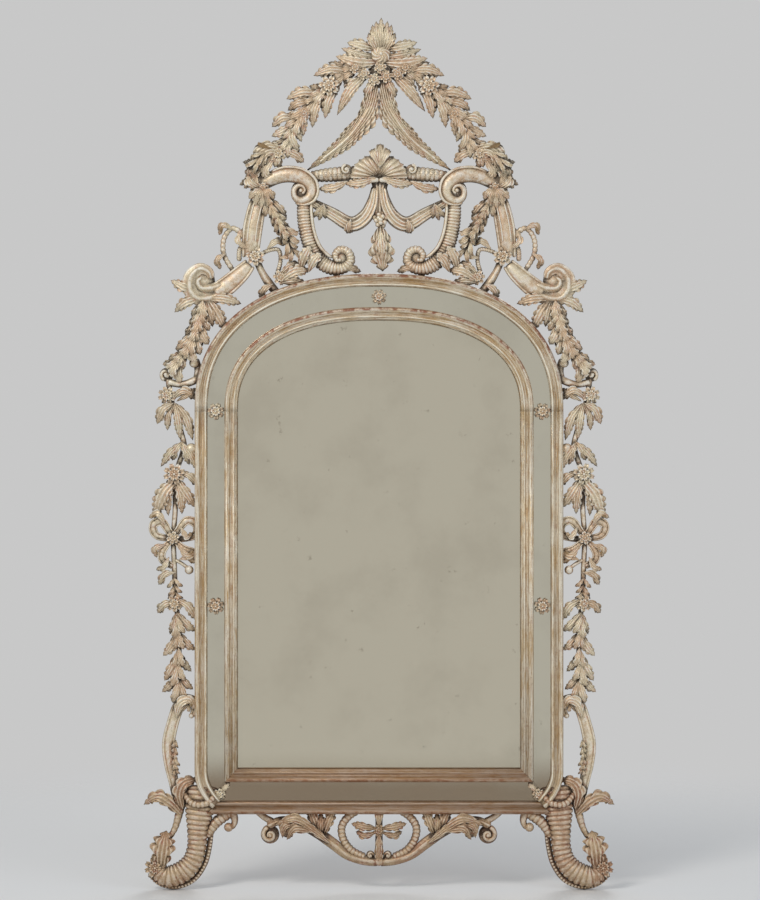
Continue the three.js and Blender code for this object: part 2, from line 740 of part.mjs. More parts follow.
const ribbonBow = carvePair('ribbon_bow', [
  rosette([-272, 1174, 21], 23, { petals: 6, height: 18 }),
  stem([[-278, 1178, 24, 8, 7], [-300, 1222, 26, 9, 5], [-324, 1236, 26, 8, 5],
    [-341, 1206, 24, 8, 5], [-339, 1166, 22, 8, 6], [-318, 1138, 20, 8, 7]], { sides: 3, steps: 6 }),
  stem([[-264, 1178, 24, 7, 6], [-240, 1191, 26, 7, 5], [-217, 1187, 24, 7, 5],
    [-216, 1160, 22, 7, 6], [-228, 1128, 20, 8, 8]], { sides: 3, steps: 5 }),
  stem([[-270, 1168, 22, 9, 8], [-258, 1140, 22, 9, 8], [-240, 1112, 20, 11, 9],
    [-222, 1092, 18, 9, 8]], { steps: 3 }),
  rosette([-216, 1128, 19], 20, { petals: 6, height: 15 }),
  leaf([[-214, 1122, 24], [-184, 1140, 32], [-152, 1144, 22]], 16),
  leaf([[-212, 1116, 22], [-186, 1118, 30], [-160, 1110, 20]], 14),
  leaf([[-236, 1112, 22], [-250, 1102, 30], [-262, 1082, 20]], 11),
], GILT, [shoulderScroll]);

// ---------------------------------------------------------------- Crest

const crestShell = carve('crest_shell', [
  stem([[-152, 1350, 20, 12, 13], [-110, 1354, 22, 17, 15], [-60, 1356, 22, 19, 15],
    [0, 1356, 22, 20, 16], [60, 1356, 22, 19, 15], [110, 1354, 22, 17, 15],
    [152, 1350, 20, 12, 13]], { steps: 6 }),
  ...withMirror([
    volute([-72, 1364, 34], 15, { from: 90, hand: 1 }),
    leaf([[-8, 1346, 34], [-40, 1334, 40], [-76, 1334, 30]], 13),
    leaf([[-70, 1338, 30], [-98, 1325, 36], [-132, 1322, 26]], 13),
  ]),
  rosette([2, 1344, 21], 60, { petals: 11, height: 22 })
    .subtract(block(-99, 99, 1200, CROWN_Z + 208, -9, 90)),
  leaf([[2, 1346, 40], [3, 1385, 46], [3, 1422, 34]], 17, { thick: 8 }),
], GILT);

const crestScroll = carvePair('crest_scroll', [
  stem([[-268, 1322, 20, 11, 12], [-248, 1338, 22, 14, 14], [-212, 1348, 24, 16, 16],
    [-172, 1346, 24, 13, 14]], { steps: 5 }),
  volute([-172, 1318, 24], 36, { from: 90, hand: -1 }),
  stem([[-256, 1324, 20, 13, 12], [-267, 1292, 24, 18, 15], [-275, 1240, 25, 23, 17],
    [-281, 1206, 23, 19, 15], [-281, 1186, 20, 14, 12]], { sides: 5 }),
  rosette([-256, 1312, 21], 20, { petals: 5, height: 18 }),
  leaf([[-262, 1322, 28], [-282, 1334, 34], [-288, 1352, 26]], 11),
  leaf([[-250, 1308, 26], [-232, 1268, 36], [-208, 1226, 36], [-190, 1184, 24]], 26, { lobes: 3 }),
  leaf([[-240, 1300, 26], [-222, 1280, 34], [-204, 1258, 24]], 11),
], GILT, [crestShell, ribbonBow, shoulderScroll]);

const ribbedStem = carvePair('ribbed_stem', [
  stem([[-168, 1298, 20, 13, 14], [-168, 1276, 22, 15, 16], [-167, 1240, 23, 17, 18],
    [-160, 1200, 23, 18, 18], [-144, 1168, 22, 18, 17], [-118, 1148, 22, 15, 15]],
  { sides: 5, ribs: 7 }),
  volute([-92, 1166, 26], 33, { from: 215, hand: 1 }),
  leaf([[-88, 1146, 24], [-66, 1147, 28], [-40, 1141, 22]], 10),
], GILT, [crestScroll, crestShell, ribbonBow]);

const crestDrapery = carve('crest_drapery', [
  stem([[2, 1346, 22, 24, 15], [2, 1326, 22, 17, 15], [2, 1300, 24, 11, 13],
    [2, 1272, 24, 20, 15], [2, 1252, 22, 17, 13]], { steps: 5 }),
  rosette([-12, 1254, 25], 15, { petals: 5 }),
  rosette([17, 1252, 25], 15, { petals: 5 }),
  rosette([3, 1236, 27], 15, { petals: 5 }),
  leaf([[3, 1252, 24], [5, 1200, 36], [8, 1142, 24]], 32, { lobes: 3, thick: 8, root: 0.16 }),
  ...withMirror([
    stem([[-8, 1324, 22, 9, 10], [-26, 1286, 26, 12, 10], [-62, 1256, 28, 14, 11],
      [-102, 1274, 26, 12, 10], [-156, 1300, 22, 8, 9]], { steps: 6 }),
    leaf([[-62, 1262, 30], [-66, 1244, 34], [-64, 1228, 26]], 11),
    leaf([[-118, 1286, 28], [-126, 1272, 34], [-132, 1254, 24]], 10),
  ]),
], GILT, [crestShell, ...withMirror([crestScroll, ribbedStem])]);

const crestFinial = carve('crest_finial', [
  stem([[4, 1545, 18, 18, 12], [4, 1576, 22, 32, 15], [4, 1625, 22, 22, 14],
    [4, 1656, 20, 12, 10]], { sides: 6 }),
  ...[[0, 0], [-24, -16], [28, -16], [-34, -34], [38, -34]].map(([dx, dz], i) => leaf([
    [4 + 0.2 * dx, 1622, 28],
    [4 + 0.6 * dx, 1660 + 0.4 * dz, 38],
    [5 + 0.8 * dx, 1698 + dz, 30],
  ], 12 - 0.5 * i, { thick: 8, root: 0.2 })),
  leaf([[-6, 1630, 26], [-38, 1637, 34], [-69, 1644, 26]], 18, { lobes: 2 }),
  leaf([[14, 1630, 26], [48, 1634, 34], [83, 1645, 26]], 18, { lobes: 2 }),
  leaf([[-6, 1600, 26], [-48, 1600, 34], [-94, 1614, 26]], 23, { lobes: 2 }),
  leaf([[14, 1600, 26], [56, 1598, 34], [106, 1610, 26]], 22, { lobes: 2 }),
  rosette([4, 1620, 29], 27, { petals: 6, height: 18 }),
  ...[[-34, 1574], [-10, 1562], [16, 1568], [41, 1574]]
    .map(([x, z]) => rosette([x, z, 26], 17, { petals: 5, height: 16 })),
  leaf([[-20, 1578, 22], [-62, 1536, 32], [-92, 1486, 22]], 16),
  leaf([[26, 1578, 22], [72, 1538, 32], [101, 1494, 22]], 16),
], GILT);

// The two palms meet on the centre line.
const rightHalf = block(-GAP / 2, 90, CROWN_Z, CROWN_Z + CREST_HEIGHT, -9, 90);
const crestPalm = carvePair('crest_palm', [
  leaf([[-9, 1556, 20], [-22, 1506, 32], [-56, 1450, 34], [-100, 1410, 30], [-158, 1362, 20]], 32,
    { lobes: 5, thick: 9, root: 0.2 }).subtract(rightHalf),
  stem([[-10, 1556, 18, 9, 9], [-24, 1504, 22, 8, 9], [-60, 1450, 24, 8, 8],
    [-148, 1372, 20, 6, 7]]).subtract(rightHalf),
], GILT, [crestFinial, crestScroll, crestShell]);

const crestGarland = carvePair('crest_garland', [
  stem([[-40, 1594, 20, 12, 10], [-80, 1572, 20, 14, 11], [-112, 1546, 22, 14, 12],
    [-150, 1510, 22, 13, 12], [-184, 1464, 22, 12, 12], [-202, 1424, 22, 12, 12],
    [-230, 1394, 22, 13, 12], [-262, 1366, 20, 12, 11], [-274, 1336, 20, 9, 10]],
  { sides: 3 }),
  leaf([[-66, 1580, 26], [-106, 1584, 34], [-143, 1572, 26]], 16),
  leaf([[-128, 1530, 24], [-166, 1534, 32], [-203, 1521, 24]], 17),
  leaf([[-146, 1512, 24], [-176, 1510, 32], [-200, 1496, 24]], 13),
  leaf([[-180, 1474, 24], [-210, 1478, 32], [-235, 1460, 24]], 16),
  leaf([[-92, 1550, 24], [-110, 1516, 34], [-119, 1478, 26]], 14),
  leaf([[-122, 1530, 24], [-140, 1498, 34], [-147, 1458, 26]], 14),
  leaf([[-156, 1500, 24], [-172, 1472, 34], [-176, 1438, 24]], 14),
  leaf([[-186, 1462, 24], [-190, 1432, 34], [-176, 1402, 24]], 13),
  rosette([-110, 1548, 23], 25, { petals: 6, height: 18 }),
  rosette([-222, 1400, 23], 21, { petals: 6, height: 16 }),
  leaf([[-208, 1404, 26], [-188, 1398, 32], [-166, 1382, 24]], 13),
  leaf([[-232, 1402, 24], [-254, 1408, 32], [-275, 1392, 24]], 14),
  leaf([[-252, 1378, 24], [-276, 1370, 32], [-291, 1344, 24]], 14),
  leaf([[-250, 1372, 24], [-246, 1356, 32], [-232, 1344, 24]], 11),
], GILT, [crestFinial, crestPalm, crestScroll]);

// ---------------------------------------------------------------- Sides

const sideGarland = carvePair('side_garland', [
  stem([[-464, 908, 22, 8, 9], [-460, 868, 22, 8, 9], [-448, 828, 22, 8, 9],
    [-436, 788, 22, 8, 9], [-430, 752, 22, 9, 10], [-442, 715, 22, 8, 9],
    [-450, 685, 22, 8, 9], [-449, 620, 22, 8, 9], [-453, 555, 22, 8, 9],
    [-451, 490, 20, 7, 8], [-448, 420, 22, 8, 9], [-441, 350, 20, 7, 8],
    [-441, 270, 20, 7, 8], [-440, 176, 20, 7, 8]], { sides: 3, steps: 11 }),
  volute([-468, 914, 24], 18, { from: 250, hand: -1 }),
  stem([[-466, 898, 22, 8, 10], [-430, 893, 22, 8, 10], [-396, 906, 22, 9, 11]], { steps: 4 }),
  stem([[-404, 896, 20, 9, 10], [-398, 920, 20, 9, 10], [-404, 950, 20, 7, 8]], { steps: 3 }),
  ball([-407, 940, 26], 12),
  rosette([-466, 868, 21], 21, { petals: 6, height: 15 }),
  leaf([[-452, 862, 24], [-430, 876, 32], [-400, 860, 22]], 12),
  leaf([[-448, 842, 24], [-480, 838, 32], [-498, 808, 22]], 16),
  leaf([[-448, 842, 24], [-464, 812, 32], [-456, 782, 22]], 13),
  leaf([[-454, 848, 24], [-420, 816, 32], [-400, 768, 22]], 14),
  ball([-413, 750, 24], 14),
  leaf([[-436, 764, 24], [-464, 746, 32], [-475, 715, 22]], 16),
  leaf([[-430, 758, 24], [-410, 732, 32], [-396, 700, 22]], 14),
  rosette([-450, 695, 23], 26, { petals: 6, height: 19 }),
  leaf([[-452, 686, 24], [-482, 648, 34], [-493, 597, 22]], 18, { lobes: 2 }),
  leaf([[-448, 686, 24], [-418, 660, 34], [-400, 620, 22]], 17, { lobes: 2 }),
  ball([-453, 555, 28], 14),
  stem([[-456, 558, 26, 7, 6], [-478, 590, 28, 7, 5], [-497, 582, 26, 7, 5],
    [-490, 560, 24, 7, 5], [-458, 553, 22, 7, 6]], { sides: 3 }),
  stem([[-450, 560, 26, 7, 6], [-424, 592, 28, 7, 5], [-402, 584, 24, 7, 6],
    [-406, 560, 22, 7, 6], [-450, 550, 22, 7, 6]], { sides: 3 }),
  stem([[-456, 550, 26, 6, 6], [-476, 526, 28, 6, 5], [-476, 506, 26, 6, 5],
    [-454, 492, 22, 6, 6]], { sides: 3 }),
  leaf([[-448, 548, 26], [-432, 520, 34], [-402, 502, 22]], 11),
  stem([[-449, 506, 20, 6, 6], [-434, 498, 22, 6, 6], [-418, 486, 24, 6, 6]],
    { sides: 3 }),
  ball([-418, 484, 24], 11),
  leaf([[-450, 478, 22], [-468, 474, 28], [-485, 452, 20]], 11),
  rosette([-450, 410, 21], 20, { petals: 6, height: 15 }),
  leaf([[-452, 414, 24], [-470, 408, 30], [-487, 390, 22]], 12),
  leaf([[-444, 418, 24], [-420, 404, 32], [-400, 372, 22]], 14),
  ...[[392, -465, 342], [292, -473, 236]].map(([top, x, z]) => (
    leaf([[-442, top, 22], [x + 8, (top + z) / 2 + 10, 30], [x, z, 20]], 13)
  )),
  ...[[362, -400, 306], [300, -400, 230]].map(([top, x, z]) => (
    leaf([[-440, top, 22], [x - 16, (top + z) / 2 + 10, 30], [x, z, 20]], 14)
  )),
  leaf([[-442, 352, 22], [-464, 332, 30], [-473, 297, 20]], 14),
  leaf([[-441, 250, 22], [-468, 222, 30], [-480, 177, 20]], 14),
], GILT, [shoulderScroll]);

const sideHorn = carvePair('side_horn', [
  stem([[-406, 160, 22, 6, 8], [-404, 184, 23, 7, 8], [-418, 201, 24, 7, 9],
    [-437, 186, 24, 9, 10], [-452, 152, 24, 12, 12], [-463, 104, 24, 13, 13],
    [-460, 60, 24, 12, 12], [-451, 12, 22, 9, 10], [-442, -44, 20, 7, 8]], { sides: 5, steps: 8 }),
  ball([-446, 92, 26], 8),
  ball([-447, 70, 26], 7),
], GILT, [sideGarland]);

// ---------------------------------------------------------------- Feet and apron

carvePair('foot', [
  stem([[-390, 14, 24, 42, 18], [-392, -20, 26, 38, 20], [-397, -55, 26, 30, 20],
    [-400, -90, 26, 22, 20], [-402, -125, 26, 20, 20], [-412, -158, 26, 21, 21],
    [-436, -182, 26, 23, 21], [-468, -190, 26, 22, 19], [-494, -172, 24, 18, 15]],
  { sides: 5, ribs: 6 }),
  stem([[-370, -88, 18, 8, 9], [-374, -126, 20, 8, 9], [-384, -164, 20, 8, 9],
    [-408, -198, 20, 8, 9], [-446, -213, 20, 9, 9], [-482, -207, 20, 8, 9],
    [-507, -184, 20, 7, 8]], { steps: 6 }),
  rosette([-492, -170, 21], 25, { petals: 6, height: 18 }),
  leaf([[-480, -172, 26], [-476, -134, 36], [-468, -94, 26]], 31, { lobes: 3, thick: 8 }),
  stem([[-466, -112, 24, 7, 7], [-450, -86, 22, 8, 8], [-440, -52, 22, 10, 10],
    [-432, -22, 20, 10, 10]]),
  leaf([[-436, -54, 24], [-460, -28, 32], [-488, -15, 32], [-517, -32, 24]], 17),
  leaf([[-432, -40, 24], [-438, -8, 32], [-426, 16, 32], [-396, 24, 22]], 17),
  stem([[-380, -104, 22, 10, 12], [-362, -76, 24, 12, 14], [-344, -60, 24, 13, 15],
    [-326, -50, 22, 13, 14]], { steps: 5 }),
  stem([[-330, -46, 22, 12, 12], [-321, -66, 24, 8, 11], [-328, -84, 24, 6, 9]],
    { sides: 5, steps: 4 }),
  ball([-330, -82, 26], 11),
], BOLE, [sideHorn, outerLeft, outerBottom]);

carve('apron', [
  ...withMirror([
    volute([-240, -99, 24], 24, { from: 100, hand: 1 }),
    stem([[-246, -80, 24, 8, 12], [-216, -68, 24, 10, 13], [-176, -74, 24, 12, 14],
      [-136, -94, 24, 13, 14], [-102, -118, 24, 13, 14], [-70, -142, 24, 12, 13],
      [-34, -154, 24, 12, 13], [0, -157, 24, 12, 13]], { steps: 7 }),
    stem([[-232, -72, 22, 9, 10], [-254, -60, 22, 8, 9], [-274, -44, 20, 7, 8]], { steps: 3 }),
    leaf([[-222, -70, 26], [-208, -84, 34], [-200, -104, 24]], 14),
    leaf([[-134, -92, 24], [-142, -68, 32], [-156, -36, 22]], 13),
    leaf([[-122, -98, 24], [-112, -72, 32], [-98, -36, 22]], 13),
    stem([[-34, -40, 22, 8, 9], [-66, -58, 24, 9, 11], [-82, -82, 24, 9, 12],
      [-78, -110, 24, 9, 12], [-60, -134, 24, 9, 12], [-30, -148, 24, 8, 11]], { steps: 6 }),
    leaf([[-4, -84, 28], [-34, -94, 36], [-66, -76, 26]], 17),
    leaf([[-4, -96, 28], [-22, -116, 34], [-40, -118, 26]], 13),
  ]),
  stem([[0, -38, 22, 9, 10], [0, -90, 24, 9, 11], [0, -150, 24, 10, 12], [0, -176, 24, 12, 12]],
    { steps: 4 }),
  rosette([0, -88, 25], 19, { petals: 6, height: 16 }),
  ball([0, -172, 26], 15),
], BOLE);

// ---------------------------------------------------------------- Trims over the plate joints

const glassFront = glassBack + GLASS + GAP;
const mouldings = [outerLeft, outerRight, outerArch, outerBottom, innerLeft, innerRight,
  innerArch, innerBase].map((body) => grown(body));

function trim(name, solids) {
  let body = join(solids).subtract(block(-600, 600, -300, 1400, -20, glassFront));
  for (const neighbour of mouldings) {
    body = body.subtract(neighbour);
  }
  put(name, largest(body), GILT);
}

const borderMid = HALF_WIDTH - OUTER_WIDTH - BORDER_WIDTH / 2;
const seat = glassFront - 2;
for (const [side, hand] of [[-1, 'left'], [1, 'right']]) {
  const x = side * borderMid;
  const bloom = (z) => [rosette([x, z, seat], 20, { height: 18, place: onFrame })];
  trim(`flower_cluster_spring_${hand}`, bloom(SPRING_Z));
  trim(`flower_cluster_lower_${hand}`, bloom(BORDER_SEAM_Z));
  trim(`corner_clasp_${hand}`, [
    rosette([side * (borderMid - 8), BOTTOM_Z + 42, seat], 15, {
      petals: 5,
      height: 14,
      place: onFrame,
    }),
    leaf([
      [side * (borderMid - 12), BOTTOM_Z + 46, seat + 4],
      [side * (borderMid - 20), BOTTOM_Z + 56, seat + 7],
      [side * (borderMid - 30), BOTTOM_Z + 68, seat + 3],
    ], 6, { place: onFrame }),
  ]);
}
const crownMid = SPRING_Z + (LINES.border[1] + innerRise) / 2;
trim('flower_cluster_crown', [rosette([0, crownMid, seat], 17, { height: 16, place: onFrame })]);

// ---------------------------------------------------------------- Ironwork

// The outline of a flat strip of even width along a line of points.
function strip(points, width) {
  const edge = (sign) => points.map(([x, z], i) => {
    const [ax, az] = points[Math.max(i - 1, 0)];
    const [bx, bz] = points[Math.min(i + 1, points.length - 1)];
    const length = Math.hypot(bx - ax, bz - az);
    return [
      x + (sign * (width / 2) * (bz - az)) / length,
      z - (sign * (width / 2) * (bx - ax)) / length,
    ];
  });
  return [...edge(1), ...edge(-1).reverse()];
}

function screwHead(x, z, y) {
  const head = new THREE.CylinderGeometry(2.6, 4, 1.6, 7);
  head.translate(x, y, z);
  return solid(head);
}

for (const [side, hand] of [[-1, 'left'], [1, 'right']]) {
  const line = [[-125, 1163], [-150, 1188], [-164, 1225], [-168, 1290]]
    .map(([px, pz]) => at(px, pz, 0));
  const spine = [
    [-STRAP_FOOT, CROWN_Z - STRAP_LET_IN],
    [-STRAP_FOOT, CROWN_Z + 14],
    ...line.map((p) => [p.x, p.z]),
  ].map(([px, pz]) => [-side * px, pz]);
  put(`crest_strap_${hand}`, slab(
    strip(spine, STRAP_WIDTH),
    CARVING_BACK - GAP - STRAP_THICK,
    CARVING_BACK - GAP,
  ), IRON);
}

// A hanging plate with a rolled eye, and the ring that swings in it.
const axisY = HANGER_THICK + 1 + RING_WIRE / 2;
for (const [side, hand] of [[-1, 'left'], [1, 'right']]) {
  const x = side * HANGER_X;
  const bore = RING_WIRE / 2 + EYE_CLEAR;
  const eyeOutline = [[bore, -1], [bore + EYE_WALL, -1], [bore + EYE_WALL, 1], [bore, 1], [bore, -1]];
  const eye = new THREE.LatheGeometry(
    eyeOutline.map(([r, h]) => new THREE.Vector2(r, (h * EYE_WIDTH) / 2)),
    12,
  );
  eye.rotateZ(Math.PI / 2);
  eye.translate(x, axisY, HANGER_Z);
  const boreRoom = new THREE.CylinderGeometry(bore, bore, EYE_WIDTH + 30, 12);
  boreRoom.rotateZ(Math.PI / 2);
  boreRoom.translate(x, axisY, HANGER_Z);
  const backFace = GAP;
  const plateBody = block(x - HANGER_WIDTH / 2, x + HANGER_WIDTH / 2, HANGER_Z - HANGER_LENGTH,
    HANGER_Z - 4, -HANGER_THICK - backFace, -backFace);
  const neck = block(x - EYE_WIDTH / 2, x + EYE_WIDTH / 2, HANGER_Z - 6, HANGER_Z + 2,
    -HANGER_THICK - backFace - 0.4, -backFace).subtract(solid(boreRoom));
  const heads = [32, 52].map((down) => (
    screwHead(x, HANGER_Z - down, backFace + HANGER_THICK + 0.6)
  ));
  put(`hanger_strap_${hand}`, join([plateBody, neck, solid(eye), ...heads]), IRON);

  const wire = new THREE.Shape();
  wire.absarc(0, 0, RING_WIRE / 2, 0, 2 * Math.PI, false);
  const straight = RING_DROP - RING_HALF;
  const round = [];
  for (let i = 1; i < 8; i += 1) {
    const angle = Math.PI + (Math.PI * i) / 8;
    round.push(new THREE.Vector3(
      x + RING_HALF * Math.cos(angle),
      axisY,
      HANGER_Z - straight + RING_HALF * Math.sin(angle),
    ));
  }
  const ringPath = new THREE.CatmullRomCurve3([
    new THREE.Vector3(x - RING_HALF, axisY, HANGER_Z + 1.5),
    new THREE.Vector3(x - RING_HALF, axisY, HANGER_Z - straight),
    ...round,
    new THREE.Vector3(x + RING_HALF, axisY, HANGER_Z - straight),
    new THREE.Vector3(x + RING_HALF, axisY, HANGER_Z + 1.5),
  ]);
  const loop = new THREE.ExtrudeGeometry(wire, {
    steps: 10,
    curveSegments: 3,
    extrudePath: ringPath,
  });
  const bar = new THREE.CylinderGeometry(RING_WIRE / 2, RING_WIRE / 2, 2 * RING_HALF + 1, 6);
  bar.rotateZ(Math.PI / 2);
  bar.translate(x, axisY, HANGER_Z);
  put(`hanger_ring_${hand}`, join([solid(loop), solid(bar)]), IRON);
}

export default assembly;
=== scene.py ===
# %% [markdown]
# # A carved and gilded trumeau mirror
# The mirror is a tall arched glass in two mouldings, with a border of glass strips between
# them, an openwork crest, garlands down both sides, scroll feet and a pierced apron. The
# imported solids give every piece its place. This lesson dresses them: each carving is modelled
# again with its petals, veins and ribs, the mouldings get their full profile, and every
# surface gets the aged finish that belongs to it.

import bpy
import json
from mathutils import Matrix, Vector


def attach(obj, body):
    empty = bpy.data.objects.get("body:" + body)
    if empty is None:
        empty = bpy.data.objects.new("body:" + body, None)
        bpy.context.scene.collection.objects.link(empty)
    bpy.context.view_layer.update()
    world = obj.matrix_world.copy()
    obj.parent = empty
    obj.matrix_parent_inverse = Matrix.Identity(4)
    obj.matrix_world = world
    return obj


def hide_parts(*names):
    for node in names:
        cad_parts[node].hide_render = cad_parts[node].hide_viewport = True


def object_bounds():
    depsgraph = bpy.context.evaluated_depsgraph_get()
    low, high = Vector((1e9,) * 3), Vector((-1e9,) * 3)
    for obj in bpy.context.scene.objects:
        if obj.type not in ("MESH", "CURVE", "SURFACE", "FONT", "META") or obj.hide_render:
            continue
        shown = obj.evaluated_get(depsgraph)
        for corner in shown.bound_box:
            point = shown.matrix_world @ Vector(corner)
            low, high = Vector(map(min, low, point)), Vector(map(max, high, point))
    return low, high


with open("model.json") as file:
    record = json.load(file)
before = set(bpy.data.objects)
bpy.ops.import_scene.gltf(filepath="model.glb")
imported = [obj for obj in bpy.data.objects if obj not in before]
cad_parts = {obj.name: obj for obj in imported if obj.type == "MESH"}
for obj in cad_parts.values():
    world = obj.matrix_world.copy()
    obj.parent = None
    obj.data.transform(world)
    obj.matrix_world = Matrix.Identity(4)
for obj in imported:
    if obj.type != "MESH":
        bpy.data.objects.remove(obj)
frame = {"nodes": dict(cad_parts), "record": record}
cad_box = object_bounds()

# %% [markdown]
# ## Units and lines
# The carver's drawing is in millimetres, with X across, Z up and a depth in front of the wall.
# Blender works in metres with the front towards -Y, so one function turns a point of the
# drawing into a point of the scene. Stems, leaves and mouldings all follow a smooth line, so
# the next helper makes one through a few stations and measures it by its own length. A
# Catmull-Rom curve is used because it passes through the stations that were measured.

# %% Points and smooth lines
import json
import math
import random

import bmesh
import bpy
import numpy as np
from mathutils import Matrix, Vector

MM = 0.001
FRONT = Vector((0, -1, 0))


def spot(x, z, depth):
    """A point of the drawing, as a point of the scene."""
    return Vector((x * MM, -depth * MM, z * MM))


def between(rows, share):
    """The numbers at a share (0 to 1) of the way through rows of numbers, on a smooth curve."""
    place = share * (len(rows) - 1)
    i = min(int(place), len(rows) - 2)
    f = place - i
    before, here, ahead, after = (rows[min(max(i + k, 0), len(rows) - 1)] for k in (-1, 0, 1, 2))
    return [
        0.5 * (2 * q + (r - p) * f + (2 * p - 5 * q + 4 * r - s) * f * f
               + (3 * q - p - 3 * r + s) * f ** 3)
        for p, q, r, s in zip(before, here, ahead, after)
    ]


class Line:
    """A smooth line through stations (x, z, depth, sizes...), evenly paced."""

    def __init__(self, stations, samples=60):
        self.stations = [tuple(float(n) for n in s) for s in stations]
        points = [spot(*between(self.stations, i / samples)[:3]) for i in range(samples + 1)]
        self.lengths = [0.0]
        for a, b in zip(points, points[1:]):
            self.lengths.append(self.lengths[-1] + (b - a).length)
        self.length = self.lengths[-1]
        self.samples = samples

    def share(self, run):
        """Where a share of the length falls among the stations."""
        target = run * self.length
        i = 0
        while i < self.samples - 1 and self.lengths[i + 1] < target:
            i += 1
        step = self.lengths[i + 1] - self.lengths[i] or 1.0
        return (i + (target - self.lengths[i]) / step) / self.samples

    def at(self, run):
        """Point, tangent, across, out and the sizes at a share of the length."""
        t = self.share(run)
        row = between(self.stations, t)
        near = spot(*between(self.stations, max(t - 0.01, 0.0))[:3])
        far = spot(*between(self.stations, min(t + 0.01, 1.0))[:3])
        tangent = (far - near).normalized()
        across = tangent.cross(FRONT).normalized()
        return spot(*row[:3]), tangent, across, across.cross(tangent), row[3:]

# %% [markdown]
# ## One sheet for every form
# A grid is the handiest start for carved work: its columns run across the form and its rows
# along it. Rolled round a line it is a stem, spread out it is a leaf or a petal, and wound up
# it is a volute. Only the places of its vertices are worked out, and the operators do the rest:
# `remove_doubles` closes a rolled sheet and its pinched ends, and `extrude_face_region` gives an
# open sheet its back.

# %% Sheets
def sheet(work, columns, rows):
    """Rows of vertices of a new grid."""
    made = bmesh.ops.create_grid(work, x_segments=columns, y_segments=rows, size=0.5)["verts"]
    return [made[i * (columns + 1):(i + 1) * (columns + 1)] for i in range(rows + 1)]


def close(work, rows):
    """Joins the seam of a rolled sheet, and its ends where they are pinched to a point."""
    verts = [v for row in rows for v in row]
    bmesh.ops.remove_doubles(work, verts=verts, dist=2e-6)


def give_back(work, rows, behind):
    """Closes an open sheet with a back. behind holds how far each vertex of it is moved."""
    for row, moves in zip(rows, behind):
        for vert, move in zip(row, moves):
            vert[work.verts.layers.float_vector["behind"]] = move
    faces = list({f for row in rows for v in row for f in v.link_faces})
    made = bmesh.ops.extrude_face_region(work, geom=faces, use_keep_orig=True)["geom"]
    back = [v for v in made if isinstance(v, bmesh.types.BMVert)]
    for vert in back:
        vert.co += vert[work.verts.layers.float_vector["behind"]]
    return back


def new_work():
    """An empty working mesh, with room for what its vertices carry."""
    work = bmesh.new()
    work.verts.layers.float_vector.new("behind")
    work.verts.layers.float.new("across")
    return work


# %% [markdown]
# ## Stems
# A carved stem is a rod that swells and tapers. Its section is nearly round, a little flat at
# the back. `ribs` are the close cross-cuts of the scrolls and feet, `flutes` are the long
# grooves that a gouge leaves down a ribbon or a drapery. The ends are rounded over their last
# few millimetres, so a stem that stops in the open looks finished.

# %% Stems
BACK_SHARE = 0.75  # how far the back of a stem swells, as a share of its front


def stem(work, stations, columns=12, ribs=0, flutes=0, cut=0.1, grain=5.0):
    """Stations are (x, z, depth, half width, half depth). grain is the length of a row."""
    line = Line(stations)
    columns = max(columns, 6 * flutes)
    count = max(int(line.length / MM / grain), 6, ribs * 6)
    runs = [0.0, 0.15, 0.5] + [i + 1.0 for i in range(count - 1)]
    runs += [count - 0.5, count - 0.15, float(count)]
    rows = sheet(work, columns, len(runs) - 1)
    for run, row in zip(runs, rows):
        point, _, across, out, (wide, deep) = line.at(run / count)
        from_end = min(run, count - run) / count * line.length / MM
        cap = min(max(min(wide, deep), 1.0), 6.0)
        swell = math.sqrt(max(0.0, 1 - (1 - min(from_end / cap, 1.0)) ** 2))
        if ribs:
            swell *= 1 - cut + cut * abs(math.sin(math.pi * ribs * run / count)) ** 0.6
        for i, vert in enumerate(row):
            angle = 2 * math.pi * i / columns
            groove = 1 - cut * (0.5 - 0.5 * math.cos(flutes * angle)) if flutes else 1.0
            u, v = math.sin(angle) * groove, math.cos(angle) * groove
            v = v if v > 0 else BACK_SHARE * v
            vert.co = point + across * (wide * swell * u * MM) + out * (deep * swell * v * MM)
    close(work, rows)


# %% [markdown]
# Many stems carry a thin raised fillet along both edges, which catches the light. It is made as
# two more stems that run beside the first one, half way down its sides.

# %% Stems with fillets
FILLET_STEPS = 16


def rimmed(work, stations, rim=2.4, **cuts):
    """A stem with a fillet along both edges. rim is the most that half its width can be."""
    stem(work, stations, **cuts)
    line = Line(stations)
    for side in (-1, 1):
        edge = []
        for k in range(FILLET_STEPS + 1):
            point, _, across, out, (wide, deep) = line.at(k / FILLET_STEPS)
            p = (point + across * (side * 0.86 * wide * MM) + out * (0.5 * deep * MM)) / MM
            size = min(rim, 0.45 * wide)
            edge.append((p.x, p.z, -p.y, size, size * 1.3))
        stem(work, edge, columns=8)


# %% [markdown]
# ## Leaves
# The acanthus leaf is the carver's main word. Its blade is cut in long flutes from root to tip,
# its edge swells into soft lobes with a notch between them, and the blade falls away from its
# midrib to both edges. All of that is a height and a reach for each vertex of a sheet: the reach
# gives the outline, and the height gives the flutes. The vertices also slide forward as they go
# out, so every lobe leans towards the tip. `root` is how much of the blade's growth is already
# done where it starts, `notch` how much of its width is left between two lobes, and `curl` lifts
# the tip. Leaves come in sprays, so a second function takes a list of them.

# %% Leaves
LOBE_LENGTH = 15  # of a leaf whose lobes aren't counted
LOBE_STEPS = 5


